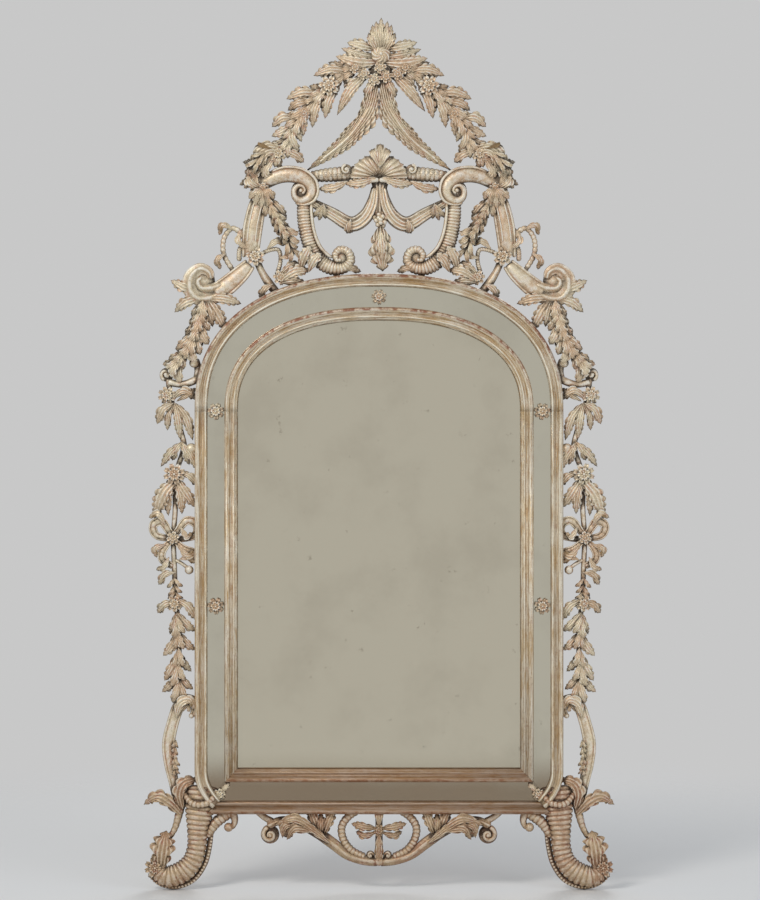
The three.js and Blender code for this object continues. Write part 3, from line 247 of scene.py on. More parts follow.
def leaf(work, stations, width, lobes=None, thick=7.0, root=0.12, lean=1.0, curl=0.0, notch=0.6,
         flutes=None):
    """Stations are (x, z, depth), and width is half the blade's."""
    line = Line(stations)
    length = line.length / MM
    lobes = lobes or max(2, round(length / LOBE_LENGTH))
    flutes = flutes or (2 if width < 20 else 3)
    columns, count = 8 * flutes, LOBE_STEPS * lobes
    rows = sheet(work, columns, count)
    behind = []
    for j, row in enumerate(rows):
        run, f = j / count, (j % LOBE_STEPS) / LOBE_STEPS
        point, tangent, across, out, _ = line.at(run)
        grown = (root + (1 - root) * run) ** 1.1
        late = max(0.0, 2 * grown - 1)
        blade = math.sin(math.pi * min(grown, 0.5)) ** 0.62 * (1 - late) ** 0.95 * (1 + 0.5 * late)
        blade = max(blade, 0.08)
        jag = notch + (1 - notch) * math.sin(math.pi * f) ** 0.6
        ridge = math.sin(math.pi * f) - 0.55
        taper = 1 - 0.35 * run
        moves = []
        for i, vert in enumerate(row):
            c = 2 * i / columns - 1
            edge = abs(c)
            spread = width * blade * c * (1 - (1 - jag) * edge ** 1.5)
            slide = lean * (length / lobes) * edge ** 1.5 * blade * (1 - run) ** 0.3
            groove = 0.26 * math.cos(2 * math.pi * flutes * edge) * (1 - 0.4 * run)
            level = 1 - 0.75 * edge ** 2 + 0.3 * ridge * edge + groove + curl * run ** 3
            vert.co = (point + across * (spread * MM) + out * (thick * taper * level * MM)
                       + tangent * (slide * MM))
            moves.append((point - vert.co) * 0.12 - out * (0.42 * thick * MM))
        behind.append(moves)
    give_back(work, rows, behind)


def leaves(work, *sprays, **cuts):
    """Several leaves, each written as its stations and its width."""
    for stations, width in sprays:
        leaf(work, stations, width, **cuts)


# %% [markdown]
# ## Flowers, buds and beads
# A flower is one petal turned about its centre, which is what `spin` with `use_duplicate`
# does, with a second smaller ring of petals above the first and a bumpy eye. Buds and beads
# are small icospheres: at their size a pixel or two of the picture shows each of them.

# %% Flowers, buds and beads
ALONG, ACROSS = 5, 6  # steps of a petal's sheet
PETAL_THICK = 2.6


def bead(work, x, z, depth, radius, flat=1.0, detail=2):
    """A ball. flat is its depth as a share of its width."""
    turn = Matrix.Translation(spot(x, z, depth)) @ Matrix.Diagonal((1, flat, 1, 1))
    bmesh.ops.create_icosphere(work, subdivisions=detail, radius=radius * MM, matrix=turn)


def ring_of_petals(work, centre, radius, petals, low, high, cup, start):
    """Petals round a centre, that rise from low to high and sink again by the cup."""
    rows = sheet(work, ACROSS, ALONG)
    for j, row in enumerate(rows):
        run = j / ALONG
        width = math.sin(math.pi * (0.16 + 0.78 * run) ** 0.9) ** 0.7
        arch = math.sin(math.pi * min(run * cup, 1.0))
        for i, vert in enumerate(row):
            u = 2 * i / ACROSS - 1
            angle = start + u * width * 1.02 * math.pi / petals
            reach = radius * (0.12 + 0.88 * run) * (1 - 0.1 * (1 - abs(u)) * (run > 0.9))
            lift = low + (high - low) * arch - 2.2 * (1 - abs(u)) * run
            vert.co = centre + Vector((
                reach * math.cos(angle) * MM, -lift * MM, reach * math.sin(angle) * MM,
            ))
    behind = [[Vector((0, PETAL_THICK * MM, 0))] * len(row) for row in rows]
    back = give_back(work, rows, behind)
    petal = {v for row in rows for v in row} | set(back)
    edges = {e for v in petal for e in v.link_edges}
    geometry = [*petal, *edges, *{f for v in petal for f in v.link_faces}]
    bmesh.ops.spin(work, geom=geometry, cent=centre, axis=FRONT, dvec=(0, 0, 0),
                   angle=2 * math.pi * (petals - 1) / petals, steps=petals - 1, use_duplicate=True)


def flower(work, x, z, depth, radius, petals, height):
    """Two rings of petals and a bumpy eye."""
    centre, start = spot(x, z, depth), 0.3
    ring_of_petals(work, centre, radius, petals, 0.25 * height, 0.75 * height, 0.72, start)
    ring_of_petals(work, centre, 0.64 * radius, petals - 1, 0.5 * height, height, 0.8, start + 0.5)
    bead(work, x, z, depth + 0.35 * height, 0.5 * radius, flat=0.55)
    for k in range(6):
        angle = start + k * math.pi / 3
        bead(work, x + 0.2 * radius * math.cos(angle), z + 0.2 * radius * math.sin(angle),
             depth + 0.85 * height, 0.13 * radius, detail=1)
    bead(work, x, z, depth + 0.95 * height, 0.14 * radius, detail=1)


def beads_along(work, stations, radius, spacing):
    """A row of beads on a line."""
    line = Line(stations)
    count = max(2, round(line.length / MM / spacing))
    for k in range(count + 1):
        p = line.at(k / count)[0] / MM
        bead(work, p.x, p.z, -p.y, radius, detail=1)


# %% [markdown]
# ## Volutes
# A volute is a stem that winds up: its radius shrinks by the same share in each turn while it
# climbs to a round eye. A low dome behind it closes the eye of the scroll, as the solid wood
# does. `first` is the angle where the band comes in, counted anticlockwise from the right.

# %% Volutes
TURNS, BAND, WINDING_STEPS = 1.4, 0.27, 22


def volute(work, x, z, depth, radius, first=90.0, hand=1, height=12.0):
    """A scroll's eye round (x, z). hand is 1 for anticlockwise and -1 for clockwise."""
    stations = []
    for k in range(WINDING_STEPS + 1):
        share = k / WINDING_STEPS
        angle = math.radians(first + hand * 360 * TURNS * share)
        reach = radius * (1 - BAND) * (0.2 ** share)
        width = BAND * radius * (0.42 ** share)
        stations.append((x + reach * math.cos(angle), z + reach * math.sin(angle),
                         depth + height * 0.75 * share, width, width * 1.15 + 2))
    stem(work, stations, columns=10, grain=4.0)
    bead(work, x, z, depth + height * 0.45, 0.2 * radius + 1.5, flat=1.5)
    bead(work, x, z, depth - 5, 0.86 * radius, flat=min(0.5, 9 / radius), detail=3)


# %% [markdown]
# ## From a working mesh to a piece
# Each carving is made on the left and mirrored for the right, as a carver works a pair from
# one drawing. A mirrored mesh is inside out, so its normals are worked out again. The piece
# then rides on its body, stands for its solid and takes that solid's finish.

# %% Pieces
SIDES = ((1, "left"), (-1, "right"))

slots = {row["node"]: row["material_slot"] for row in frame["record"]["subparts"]}
carvings = {}


def carve(name, shape, side=1, body="frame"):
    """Makes a shape, or its mirror image, a piece that stands for the solid of that name."""
    work = new_work()
    shape(work)
    bmesh.ops.scale(work, vec=(side, 1, 1), verts=work.verts[:])
    bmesh.ops.recalc_face_normals(work, faces=work.faces[:])
    for face in work.faces:
        face.smooth = True
    mesh = bpy.data.meshes.new(name)
    work.to_mesh(mesh)
    work.free()
    made = bpy.data.objects.new(f"{name}_dressed", mesh)
    bpy.context.scene.collection.objects.link(made)
    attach(made, body)
    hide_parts(name)
    carvings[name] = made


def carve_pair(name, shape):
    """A carving for the left and its mirror image for the right."""
    for side, hand in SIDES:
        carve(f"{name}_{hand}", shape, side)
    print(name, "pair:", len(carvings[f"{name}_left"].data.polygons), "faces each")


def both_sides(work, shape):
    """Adds a shape and its mirror image to a carving on the centre line."""
    old = set(work.verts)
    shape(work)
    verts = [v for v in work.verts if v not in old]
    edges = {e for v in verts for e in v.link_edges}
    faces = {f for v in verts for f in v.link_faces}
    copy = bmesh.ops.duplicate(work, geom=[*verts, *edges, *faces])["geom"]
    twins = [g for g in copy if isinstance(g, bmesh.types.BMVert)]
    bmesh.ops.scale(work, vec=(-1, 1, 1), verts=twins)


# %% [markdown]
# ## The mouldings
# Each moulding is one profile, run with a plane along the straight parts and carved to the
# same section round the arch. The outer one has a fat bead outside, a hollow, a narrow fillet
# and a small bead against the glass. A sweep of the profile makes each length: its columns are
# the points of the profile and its rows are stations on the path. Both mouldings hold a rebate
# at the back for the glass strips of the border.

# %% Profiles of the two mouldings
SPRING_Z = 833  # where the sides end and the arch begins
SEAM = 0.15  # half the gap between two lengths
BACK = 24.3  # depth of the mouldings' seat
BEAD_SHARES = (0, 0.1, 0.22, 0.36, 0.5, 0.64, 0.78, 0.9, 1)
OUTER_X, OUTER_RISE, OUTER_LOW = 391.5, 288.5, -38.5  # the outer moulding's centre line
INNER_X, INNER_RISE, INNER_LOW = 326, 215, 32


def section(shape, width, depth, rebate):
    """The profile in millimetres: across from the centre line, and the depth."""
    line = [((u - 0.5) * width, v * depth) for u, v in shape]
    step, room, half = 4.6, 5.0, 0.5 * width  # the rebate's depth and width
    if rebate == "inner":
        line += [(half, step), (half - room, step), (half - room, 0), (-half, 0)]
    else:
        line = [(-half, step)] + line + [(half, 0), (room - half, 0), (room - half, step)]
    return line


outer_shape = (
    [(0.0, 0.3), (0.0, 0.62)]
    + [(0.02 + 0.36 * f, 0.62 + 0.38 * math.sin(math.pi * (0.06 + 0.72 * f)) - 0.1 * f)
       for f in BEAD_SHARES]
    + [(0.41, 0.66), (0.43, 0.6), (0.5, 0.5), (0.58, 0.46), (0.66, 0.48), (0.72, 0.54), (0.74, 0.6)]
    + [(0.76, 0.62), (0.8, 0.76), (0.87, 0.82), (0.95, 0.76), (0.99, 0.64), (1.0, 0.5)]
)
inner_shape = (
    [(0.0, 0.55), (0.02, 0.7)]
    + [(0.03 + 0.35 * f, 0.66 + 0.34 * math.sin(math.pi * (0.1 + 0.7 * f)) - 0.08 * f)
       for f in BEAD_SHARES]
    + [(0.41, 0.64), (0.44, 0.56), (0.52, 0.48), (0.6, 0.46), (0.66, 0.5), (0.68, 0.58)]
    + [(0.72, 0.64), (0.78, 0.62), (0.82, 0.52), (0.84, 0.42), (0.92, 0.34), (1.0, 0.28)]
)
OUTER = section(outer_shape, 27, 26, "inner")
INNER = section(inner_shape, 28, 21, "outer")
print("profiles of", len(OUTER), "and", len(INNER), "points")

# %% Sweep a profile along a path
ARCH_STEPS = 96
ARCH_POWER = 2.35  # 2 would be an ellipse, more is squarer


def run_moulding(work, stations, profile):
    """Stations are (x, z, dx, dz), and the front of the profile is always outwards."""
    rows = sheet(work, len(profile), len(stations) - 1)
    layer = work.verts.layers.float["across"]
    low = min(p[0] for p in profile)
    wide = max(p[0] for p in profile) - low
    for (x, z, dx, dz), row in zip(stations, rows):
        size = math.hypot(dx, dz)
        side = Vector((dz / size, 0, -dx / size))
        centre = spot(x, z, BACK)
        for i, vert in enumerate(row):
            u, depth = profile[i % len(profile)]
            vert.co = centre + side * (u * MM) + FRONT * (depth * MM)
            vert[layer] = (u - low) / wide
    close(work, rows)
    open_edges = [e for e in work.edges if e.is_boundary]
    bmesh.ops.holes_fill(work, edges=open_edges, sides=0)


def saw(work, x, z, nx, nz):
    """Cuts the moulding on a line through (x, z) and keeps the side that (nx, nz) points to."""
    everything = [*work.verts, *work.edges, *work.faces]
    bmesh.ops.bisect_plane(work, geom=everything, dist=1e-7, plane_co=spot(x, z, 0),
                           plane_no=Vector((-nx, 0, -nz)), clear_outer=True)
    bmesh.ops.holes_fill(work, edges=[e for e in work.edges if e.is_boundary], sides=0)


def arch_stations(half_width, rise):
    """A superellipse, and the direction of its line at each station."""
    stations = []
    for i in range(ARCH_STEPS + 1):
        angle = math.pi * i / ARCH_STEPS
        c, s = math.cos(angle), math.sin(angle)
        x = -math.copysign(abs(c) ** (2 / ARCH_POWER), c) * half_width
        z = SPRING_Z + SEAM + max(s, 0.0) ** (2 / ARCH_POWER) * rise
        nx = math.copysign((abs(x) / half_width) ** (ARCH_POWER - 1), x) / half_width
        nz = (max(z - SPRING_Z, 0.0) / rise) ** (ARCH_POWER - 1) / rise
        stations.append((x, z, nz, -nx))
    return stations


# %% [markdown]
# The outer moulding turns in over the lower corners and meets the bottom length on a mitre.
# The inner moulding's corners are plain mitres. `bisect_plane` is the mitre saw, and the ends
# that it leaves open are filled.

# %% Run the outer moulding
def outer_side(work):
    x = -OUTER_X
    stations = [(x, z, 0, -1) for z in (SPRING_Z - SEAM, 700, 560, 420, 280, 140, 60)]
    a, b, c = Vector((x, 39)), Vector((x + 1, 3)), Vector((x + 34, -30))
    for i in range(9):
        f = i / 8
        p = a * (1 - f) ** 2 + b * 2 * f * (1 - f) + c * f * f
        t = (b - a) * (1 - f) + (c - b) * f
        stations.append((p.x, p.y, t.x, t.y))
    run_moulding(work, [(px, pz, -dx, -dz) for px, pz, dx, dz in reversed(stations)], OUTER)


def outer_bottom(work):
    run_moulding(work, [(x, OUTER_LOW, -1, 0) for x in (372, 0, -372)], OUTER)
    for side in (-1, 1):
        saw(work, side * 357.2, -30.6, -side, -1)


carve_pair("outer_moulding", outer_side)
carve("outer_moulding_bottom", outer_bottom)
carve("outer_moulding_arch",
      lambda work: run_moulding(work, arch_stations(OUTER_X, OUTER_RISE), OUTER))
print("outer moulding:", len(carvings["outer_moulding_arch"].data.polygons), "faces in the arch")

# %% Run the inner moulding
def inner_side(work):
    run_moulding(work, [(-INNER_X, z, 0, 1) for z in (0, 400, SPRING_Z - SEAM)], INNER)
    saw(work, -340, 18.4, -1, 1)


def inner_bottom(work):
    run_moulding(work, [(x, INNER_LOW, -1, 0) for x in (350, 0, -350)], INNER)
    for side in (-1, 1):
        saw(work, side * 340, 18, -side, -1)


carve_pair("inner_moulding", inner_side)
carve("inner_moulding_bottom", inner_bottom)
carve("inner_moulding_arch",
      lambda work: run_moulding(work, arch_stations(INNER_X, INNER_RISE), INNER))
print("inner moulding:", len(carvings["inner_moulding_arch"].data.polygons), "faces in the arch")

# %% [markdown]
# ## Small flowers over the glass joints
# The border is glazed in strips, and a carved flower hides each joint. The crown, the two
# ends of the arch and the middle of each side have one, and a small clasp of a flower and two
# leaves sits on the mitre of each lower corner.

# %% Flowers and clasps
SEAT = 29  # depth of the flowers' backs


def joint_flower(x, z, radius, height):
    return lambda work: flower(work, x, z, SEAT, radius, petals=7, height=height)


carve("flower_cluster_crown", joint_flower(0, 1085, 17, 15))
carve_pair("flower_cluster_spring", joint_flower(-359, 833, 19, 17))
carve_pair("flower_cluster_lower", joint_flower(-359, 405, 19, 17))


def corner_clasp(work):
    flower(work, -351, -10, SEAT, 15, petals=6, height=13)
    leaf(work, [(-347, -5, 31), (-339, 5, 34), (-329, 16, 31)], 7, lobes=3, thick=4)
    leaf(work, [(-354, -13, 31), (-362, -20, 33), (-368, -28, 31)], 6, lobes=2, thick=4)


carve_pair("corner_clasp", corner_clasp)

# %% [markdown]
# ## The side garlands
# A garland hangs from a small scroll at each shoulder: a daisy, long husk leaves, a berry, a
# full flower, a ribbon bow half way down, and then a stem that is thick with leaves to the
# curl of the horn. The leaves are short and overlap, so the leafy parts are made as a run of
# leaflets to either side of a line, with small seeded changes so no two are the same.

# %% A run of leaflets
def leafy_run(work, stations, size, spacing, seed, spread=0.75, width=0.42, lift=6.0, lobes=3):
    """Leaflets in turn to the left and right of a line."""
    chance = random.Random(seed)
    line = Line(stations)
    count = max(2, round(line.length / MM / spacing))
    for k in range(count):
        run = (k + 0.3) / count
        point, tangent, across, _, _ = line.at(run)
        for side in (-1, 1):
            long = size * chance.uniform(0.78, 1.2)
            turn = spread * chance.uniform(0.7, 1.25)
            way = tangent * math.cos(turn) + across * (side * math.sin(turn))
            start = point / MM
            end = start + way * long
            mid = start + way * (0.5 * long) + tangent * (0.1 * long)
            depth = -start.y + chance.uniform(-2, 2)
            leaf(work, [(start.x, start.z, depth), (mid.x, mid.z, depth + lift),
                        (end.x, end.z, depth + 0.2 * lift)],
                 width * long * 0.5, lobes=lobes, thick=5)


# %% Carve the garland
def side_garland(work):
    stem(work, [(-464, 908, 20, 7, 7), (-460, 868, 20, 6, 7), (-448, 828, 20, 6, 7),
                (-436, 788, 20, 6, 7), (-430, 752, 20, 7, 8), (-442, 715, 20, 6, 7),
                (-450, 685, 20, 6, 7), (-449, 620, 20, 6, 7), (-453, 555, 20, 6, 7),
                (-451, 490, 19, 6, 7), (-448, 420, 20, 6, 7), (-441, 350, 19, 6, 7),
                (-441, 270, 19, 6, 7), (-440, 176, 19, 6, 7)], columns=10)
    volute(work, -468, 914, 24, 18, first=250, hand=-1)
    stem(work, [(-466, 898, 22, 8, 9), (-430, 893, 22, 8, 9), (-396, 906, 22, 9, 10)])
    stem(work, [(-404, 896, 20, 9, 9), (-398, 920, 20, 9, 9), (-404, 950, 20, 7, 7)])
    bead(work, -407, 940, 28, 11)
    flower(work, -466, 868, 24, 21, petals=8, height=13)
    leaf(work, [(-452, 862, 24), (-430, 876, 32), (-400, 860, 22)], 11)
    leaf(work, [(-444, 856, 24), (-424, 868, 30), (-402, 884, 22)], 8, lobes=3)
    leaves(work,
           ([(-454, 850, 26), (-474, 836, 35), (-488, 806, 26)], 12),
           ([(-452, 848, 24), (-462, 824, 31), (-466, 792, 23)], 9),
           ([(-450, 850, 24), (-442, 816, 34), (-438, 772, 22)], 11),
           ([(-448, 850, 24), (-424, 818, 33), (-410, 770, 22)], 12), notch=0.7)
    bead(work, -413, 750, 27, 13, detail=3)
    for x, z in ((-480, 712), (-455, 726), (-396, 700), (-418, 716)):
        leaf(work, [(-434, 764, 24), ((x - 434) / 2, (z + 764) / 2 + 6, 33), (x, z, 23)], 10)
    flower(work, -450, 695, 25, 25, petals=8, height=18)
    leaves(work,
           ([(-446, 684, 24), (-474, 652, 36), (-494, 598, 24)], 19),
           ([(-452, 684, 24), (-464, 646, 31), (-464, 604, 22)], 12),
           ([(-446, 680, 24), (-436, 646, 33), (-434, 608, 22)], 12),
           ([(-444, 684, 24), (-426, 656, 34), (-404, 622, 24)], 14),
           ([(-440, 700, 24), (-416, 690, 32), (-398, 668, 22)], 10))
    flower(work, -453, 555, 28, 15, petals=6, height=12)
    for loop in (
        [(-456, 558, 26, 7, 4), (-478, 590, 30, 9, 4), (-497, 582, 27, 9, 4),
         (-490, 560, 24, 8, 4), (-458, 553, 24, 6, 4)],
        [(-450, 560, 26, 6, 4), (-424, 592, 30, 9, 4), (-402, 584, 26, 9, 4),
         (-406, 560, 24, 8, 4), (-450, 550, 24, 6, 4)],
        [(-456, 550, 26, 5, 4), (-476, 526, 30, 8, 4), (-476, 506, 27, 8, 4), (-454, 492, 22, 6, 4)],
        [(-448, 548, 26, 5, 4), (-428, 530, 30, 8, 4), (-408, 522, 26, 8, 4),
         (-404, 500, 22, 7, 4)],
    ):
        rimmed(work, loop, rim=1.8, columns=14, ribs=9, flutes=3, cut=0.2)
    leaves(work,
           ([(-470, 584, 30), (-484, 604, 35), (-506, 600, 27)], 9),
           ([(-470, 540, 28), (-488, 532, 33), (-490, 512, 26)], 9),
           ([(-436, 578, 30), (-424, 560, 34), (-412, 566, 28)], 8),
           ([(-440, 536, 28), (-424, 520, 33), (-400, 524, 26)], 9),
           ([(-440, 506, 26), (-424, 510, 31), (-404, 500, 24)], 8),
           ([(-462, 512, 26), (-472, 494, 31), (-490, 484, 24)], 8), thick=5)
    stem(work, [(-449, 506, 22, 4, 5), (-434, 498, 24, 4, 5), (-418, 486, 26, 4, 5)])
    bead(work, -418, 484, 26, 10)
    leaf(work, [(-450, 478, 22), (-468, 474, 28), (-485, 452, 20)], 10)
    leafy_run(work, [(-451, 470, 22), (-449, 440, 22), (-448, 424, 22)], 26, 16, seed=11)
    flower(work, -450, 410, 24, 19, petals=7, height=14)
    leaf(work, [(-452, 414, 24), (-470, 408, 31), (-487, 390, 22)], 11)
    leaf(work, [(-444, 418, 24), (-420, 404, 32), (-400, 372, 22)], 12)
    leafy_run(work, [(-447, 404, 22), (-441, 350, 22), (-441, 290, 22), (-440, 228, 22)], 60, 44,
              seed=12, spread=0.62, width=0.4, lobes=4)
    leafy_run(work, [(-447, 392, 27), (-441, 345, 27), (-441, 285, 27), (-440, 218, 27)], 46, 36,
              seed=13, spread=0.28, width=0.42)


carve_pair("side_garland", side_garland)

# %% [markdown]
# The horn ends the garland: a tapering stem with a fillet along both edges, that curls over
# into a hook at the top and runs down into the foot. A thin run of leaflets lies on its inner
# side, and two small leaves lie over the hook.

# %% Carve the horn
def side_horn(work):
    rimmed(work, [(-410, 162, 22, 6, 7), (-403, 176, 23, 8, 8), (-408, 194, 24, 10, 9),
                  (-426, 200, 24, 11, 9), (-441, 184, 24, 12, 10), (-453, 150, 24, 12, 10),
                  (-463, 104, 24, 13, 10), (-460, 60, 24, 12, 10), (-451, 12, 22, 9, 9),
                  (-442, -44, 20, 7, 8)], rim=3.0, columns=16)
    leaf(work, [(-446, 160, 30), (-438, 186, 36), (-420, 196, 36), (-402, 178, 30)], 13,
         lobes=4, thick=5)
    leaf(work, [(-440, 166, 28), (-426, 186, 31), (-416, 172, 28)], 9, thick=5)
    leafy_run(work, [(-446, 112, 27), (-450, 84, 28), (-447, 40, 26)], 18, 13, seed=21, spread=0.45)
    bead(work, -413, 163, 26, 6)


carve_pair("side_horn", side_horn)

# %% [markdown]
# ## The feet
# A foot is a fat gadrooned body, cut across by close ribs, that bends outwards and ends in a
# rosette, with a beaded lip round the outside of the bend. A lobed leaf stands up from the
# rosette to a ribbed stem, which ends in two leaves: one curls outwards, the other in over the
# moulding. A ribbed cord rims the top, and a small scroll hooks down under the frame.

# %% Carve the feet
def foot(work):
    stem(work, [(-390, 10, 22, 38, 16), (-392, -20, 25, 37, 19), (-396, -55, 26, 31, 20),
                (-399, -90, 26, 24, 20), (-401, -125, 26, 22, 20), (-411, -158, 26, 23, 21),
                (-436, -182, 26, 25, 21), (-468, -190, 26, 24, 19), (-494, -172, 24, 18, 15)],
         columns=24, ribs=25, cut=0.13)
    stem(work, [(-370, -88, 18, 6, 8), (-374, -126, 20, 6, 8), (-384, -164, 20, 6, 8),
                (-408, -198, 20, 6, 8), (-446, -213, 20, 7, 8), (-482, -207, 20, 6, 8),
                (-507, -184, 20, 5, 7)])
    beads_along(work, [(-367, -92, 27), (-372, -128, 28), (-384, -166, 28), (-410, -202, 28),
                       (-446, -214, 28), (-482, -209, 28), (-505, -190, 27)], 3.6, 7.2)
    flower(work, -492, -170, 27, 24, petals=8, height=16)
    leaf(work, [(-480, -172, 26), (-476, -134, 37), (-468, -90, 27)], 30, lobes=4, thick=9, notch=0.42)
    stem(work, [(-466, -112, 24, 6, 7), (-450, -86, 22, 7, 8), (-440, -52, 22, 9, 10),
                (-432, -22, 20, 9, 10)], ribs=9, cut=0.1)
    leaf(work, [(-436, -54, 24), (-460, -28, 33), (-488, -15, 32), (-517, -32, 24)], 17, lobes=5)
    leaf(work, [(-432, -40, 26), (-438, -8, 35), (-426, 16, 35), (-396, 24, 24)], 17, lobes=5)
    stem(work, [(-430, -6, 30, 6, 7), (-412, -26, 42, 7, 8), (-392, -30, 46, 7, 8),
                (-372, -24, 42, 7, 8), (-356, -2, 30, 6, 7)], ribs=12, cut=0.2)
    stem(work, [(-380, -104, 22, 9, 12), (-362, -76, 24, 12, 14), (-344, -60, 24, 13, 15),
                (-326, -50, 22, 12, 13)], ribs=8, cut=0.12)
    stem(work, [(-330, -46, 22, 11, 12), (-320, -58, 23, 9, 11), (-318, -72, 24, 7, 10),
                (-326, -86, 24, 6, 9)])
    bead(work, -331, -82, 29, 10, detail=3)


carve_pair("foot", foot)

# %% [markdown]
# ## The apron
# Two long fluted scrolls rise from the middle of the bottom and end in volutes, with leaves on
# their backs. Between them are a pair of ribbed C scrolls and a stem with a flower, whose leaves
# lie level. It is pierced, so each form is carved round and only touches its neighbour.

# %% Carve the apron
def apron_half(work):
    volute(work, -240, -99, 24, 24, first=100)
    stem(work, [(-246, -80, 24, 8, 11), (-216, -68, 24, 10, 12), (-176, -74, 24, 12, 13),
                (-136, -94, 24, 13, 13), (-102, -118, 24, 13, 13), (-70, -142, 24, 12, 12),
                (-34, -154, 24, 12, 12), (0, -157, 24, 12, 12)], columns=16, flutes=5, cut=0.2)
    leaves(work,
           ([(-110, -114, 35), (-148, -84, 41), (-184, -68, 36)], 9),
           ([(-136, -92, 36), (-182, -64, 43), (-228, -76, 34)], 12),
           ([(-150, -88, 36), (-184, -84, 42), (-202, -108, 30)], 12),
           ([(-180, -72, 34), (-206, -80, 40), (-212, -104, 30)], 9), lobes=4, root=0.25, notch=0.78)
    stem(work, [(-232, -72, 22, 8, 9), (-254, -60, 22, 7, 8), (-274, -44, 20, 6, 7)])
    leaf(work, [(-222, -70, 28), (-208, -84, 35), (-200, -104, 26)], 13)
    leaf(work, [(-134, -92, 26), (-142, -68, 33), (-156, -36, 24)], 13)
    leaf(work, [(-122, -98, 26), (-112, -72, 33), (-98, -36, 24)], 13)
    leaf(work, [(-128, -96, 28), (-128, -78, 35), (-128, -52, 26)], 10)
    stem(work, [(-34, -40, 22, 8, 9), (-66, -58, 24, 9, 11), (-82, -82, 24, 9, 12),
                (-78, -110, 24, 9, 12), (-60, -134, 24, 9, 12), (-30, -148, 24, 8, 11)],
         columns=14, ribs=18, cut=0.14)
    leaf(work, [(-6, -84, 28), (-32, -80, 35), (-60, -74, 27)], 11)
    leaf(work, [(-6, -92, 28), (-28, -98, 34), (-50, -92, 26)], 9)
    volute(work, -19, -143, 32, 11, first=0, height=8)


def apron(work):
    both_sides(work, apron_half)
    stem(work, [(0, -38, 22, 8, 10), (0, -90, 24, 8, 11), (0, -140, 24, 9, 12),
                (0, -164, 24, 9, 12)])
    flower(work, 0, -88, 29, 14, petals=8, height=13)
    leaf(work, [(0, -78, 30), (0, -60, 36), (0, -40, 30)], 11, lobes=2)
    leaf(work, [(0, -98, 30), (0, -122, 37), (0, -160, 34)], 11)
    bead(work, 0, -156, 29, 11, detail=3)


carve("apron", apron)
print("apron:", len(carvings["apron"].data.polygons), "faces")

# %% [markdown]
# ## The shoulders
# Where the arch springs from the sides, a stem comes down to each shoulder and winds up as a
# fluted scroll, with leaves round it and a spray that falls over the corner of the frame. A
# ribbon bow of corded loops is tied a little higher, where the crest begins.

# %% Carve the shoulders
def shoulder_scroll(work):
    rimmed(work, [(-284, 1158, 20, 12, 12), (-304, 1136, 22, 18, 15), (-336, 1108, 24, 21, 17),
                  (-362, 1092, 24, 20, 16)], rim=3.4, columns=24)
    stem(work, [(-340, 1096, 26, 17, 13), (-370, 1083, 27, 18, 14), (-398, 1082, 29, 18, 15),
                (-415, 1101, 30, 18, 16), (-413, 1129, 31, 18, 16), (-393, 1146, 32, 15, 15),
                (-374, 1139, 32, 12, 14), (-369, 1124, 31, 8, 11)], flutes=6, cut=0.24, grain=4)
    stem(work, [(-344, 1112, 30, 10, 11), (-368, 1104, 32, 11, 12), (-390, 1104, 33, 10, 12),
                (-398, 1118, 34, 9, 12), (-388, 1128, 34, 6, 10)], flutes=4, cut=0.22, grain=4)
    bead(work, -397, 1120, 22, 36, flat=0.5, detail=3)
    leaf(work, [(-390, 1094, 26), (-428, 1106, 36), (-457, 1121, 26)], 15)
    leaf(work, [(-388, 1084, 26), (-424, 1072, 36), (-449, 1052, 26)], 14)
    leaf(work, [(-376, 1082, 28), (-340, 1080, 37), (-304, 1070, 26)], 14)
    leaf(work, [(-378, 1082, 24), (-358, 1052, 34), (-336, 1010, 24)], 16)
    leaf(work, [(-384, 1080, 26), (-374, 1050, 36), (-366, 1020, 26)], 13)
    fall = [(-386, 1082, 26), (-394, 1032, 32), (-412, 984, 32), (-450, 936, 24)]
    leaf(work, fall, 26, lobes=7, thick=9, root=0.2)
    leafy_run(work, [(x, z, d + 2) for x, z, d in fall], 46, 24, seed=61, spread=0.6, width=0.5)
    leafy_run(work, [(x, z, d + 8) for x, z, d in fall], 36, 20, seed=62, spread=0.26, width=0.5)
    stem(work, [(-386, 1086, 20, 9, 9), (-398, 1020, 24, 7, 8), (-424, 966, 24, 6, 7),
                (-456, 928, 20, 5, 6)])


carve_pair("shoulder_scroll", shoulder_scroll)

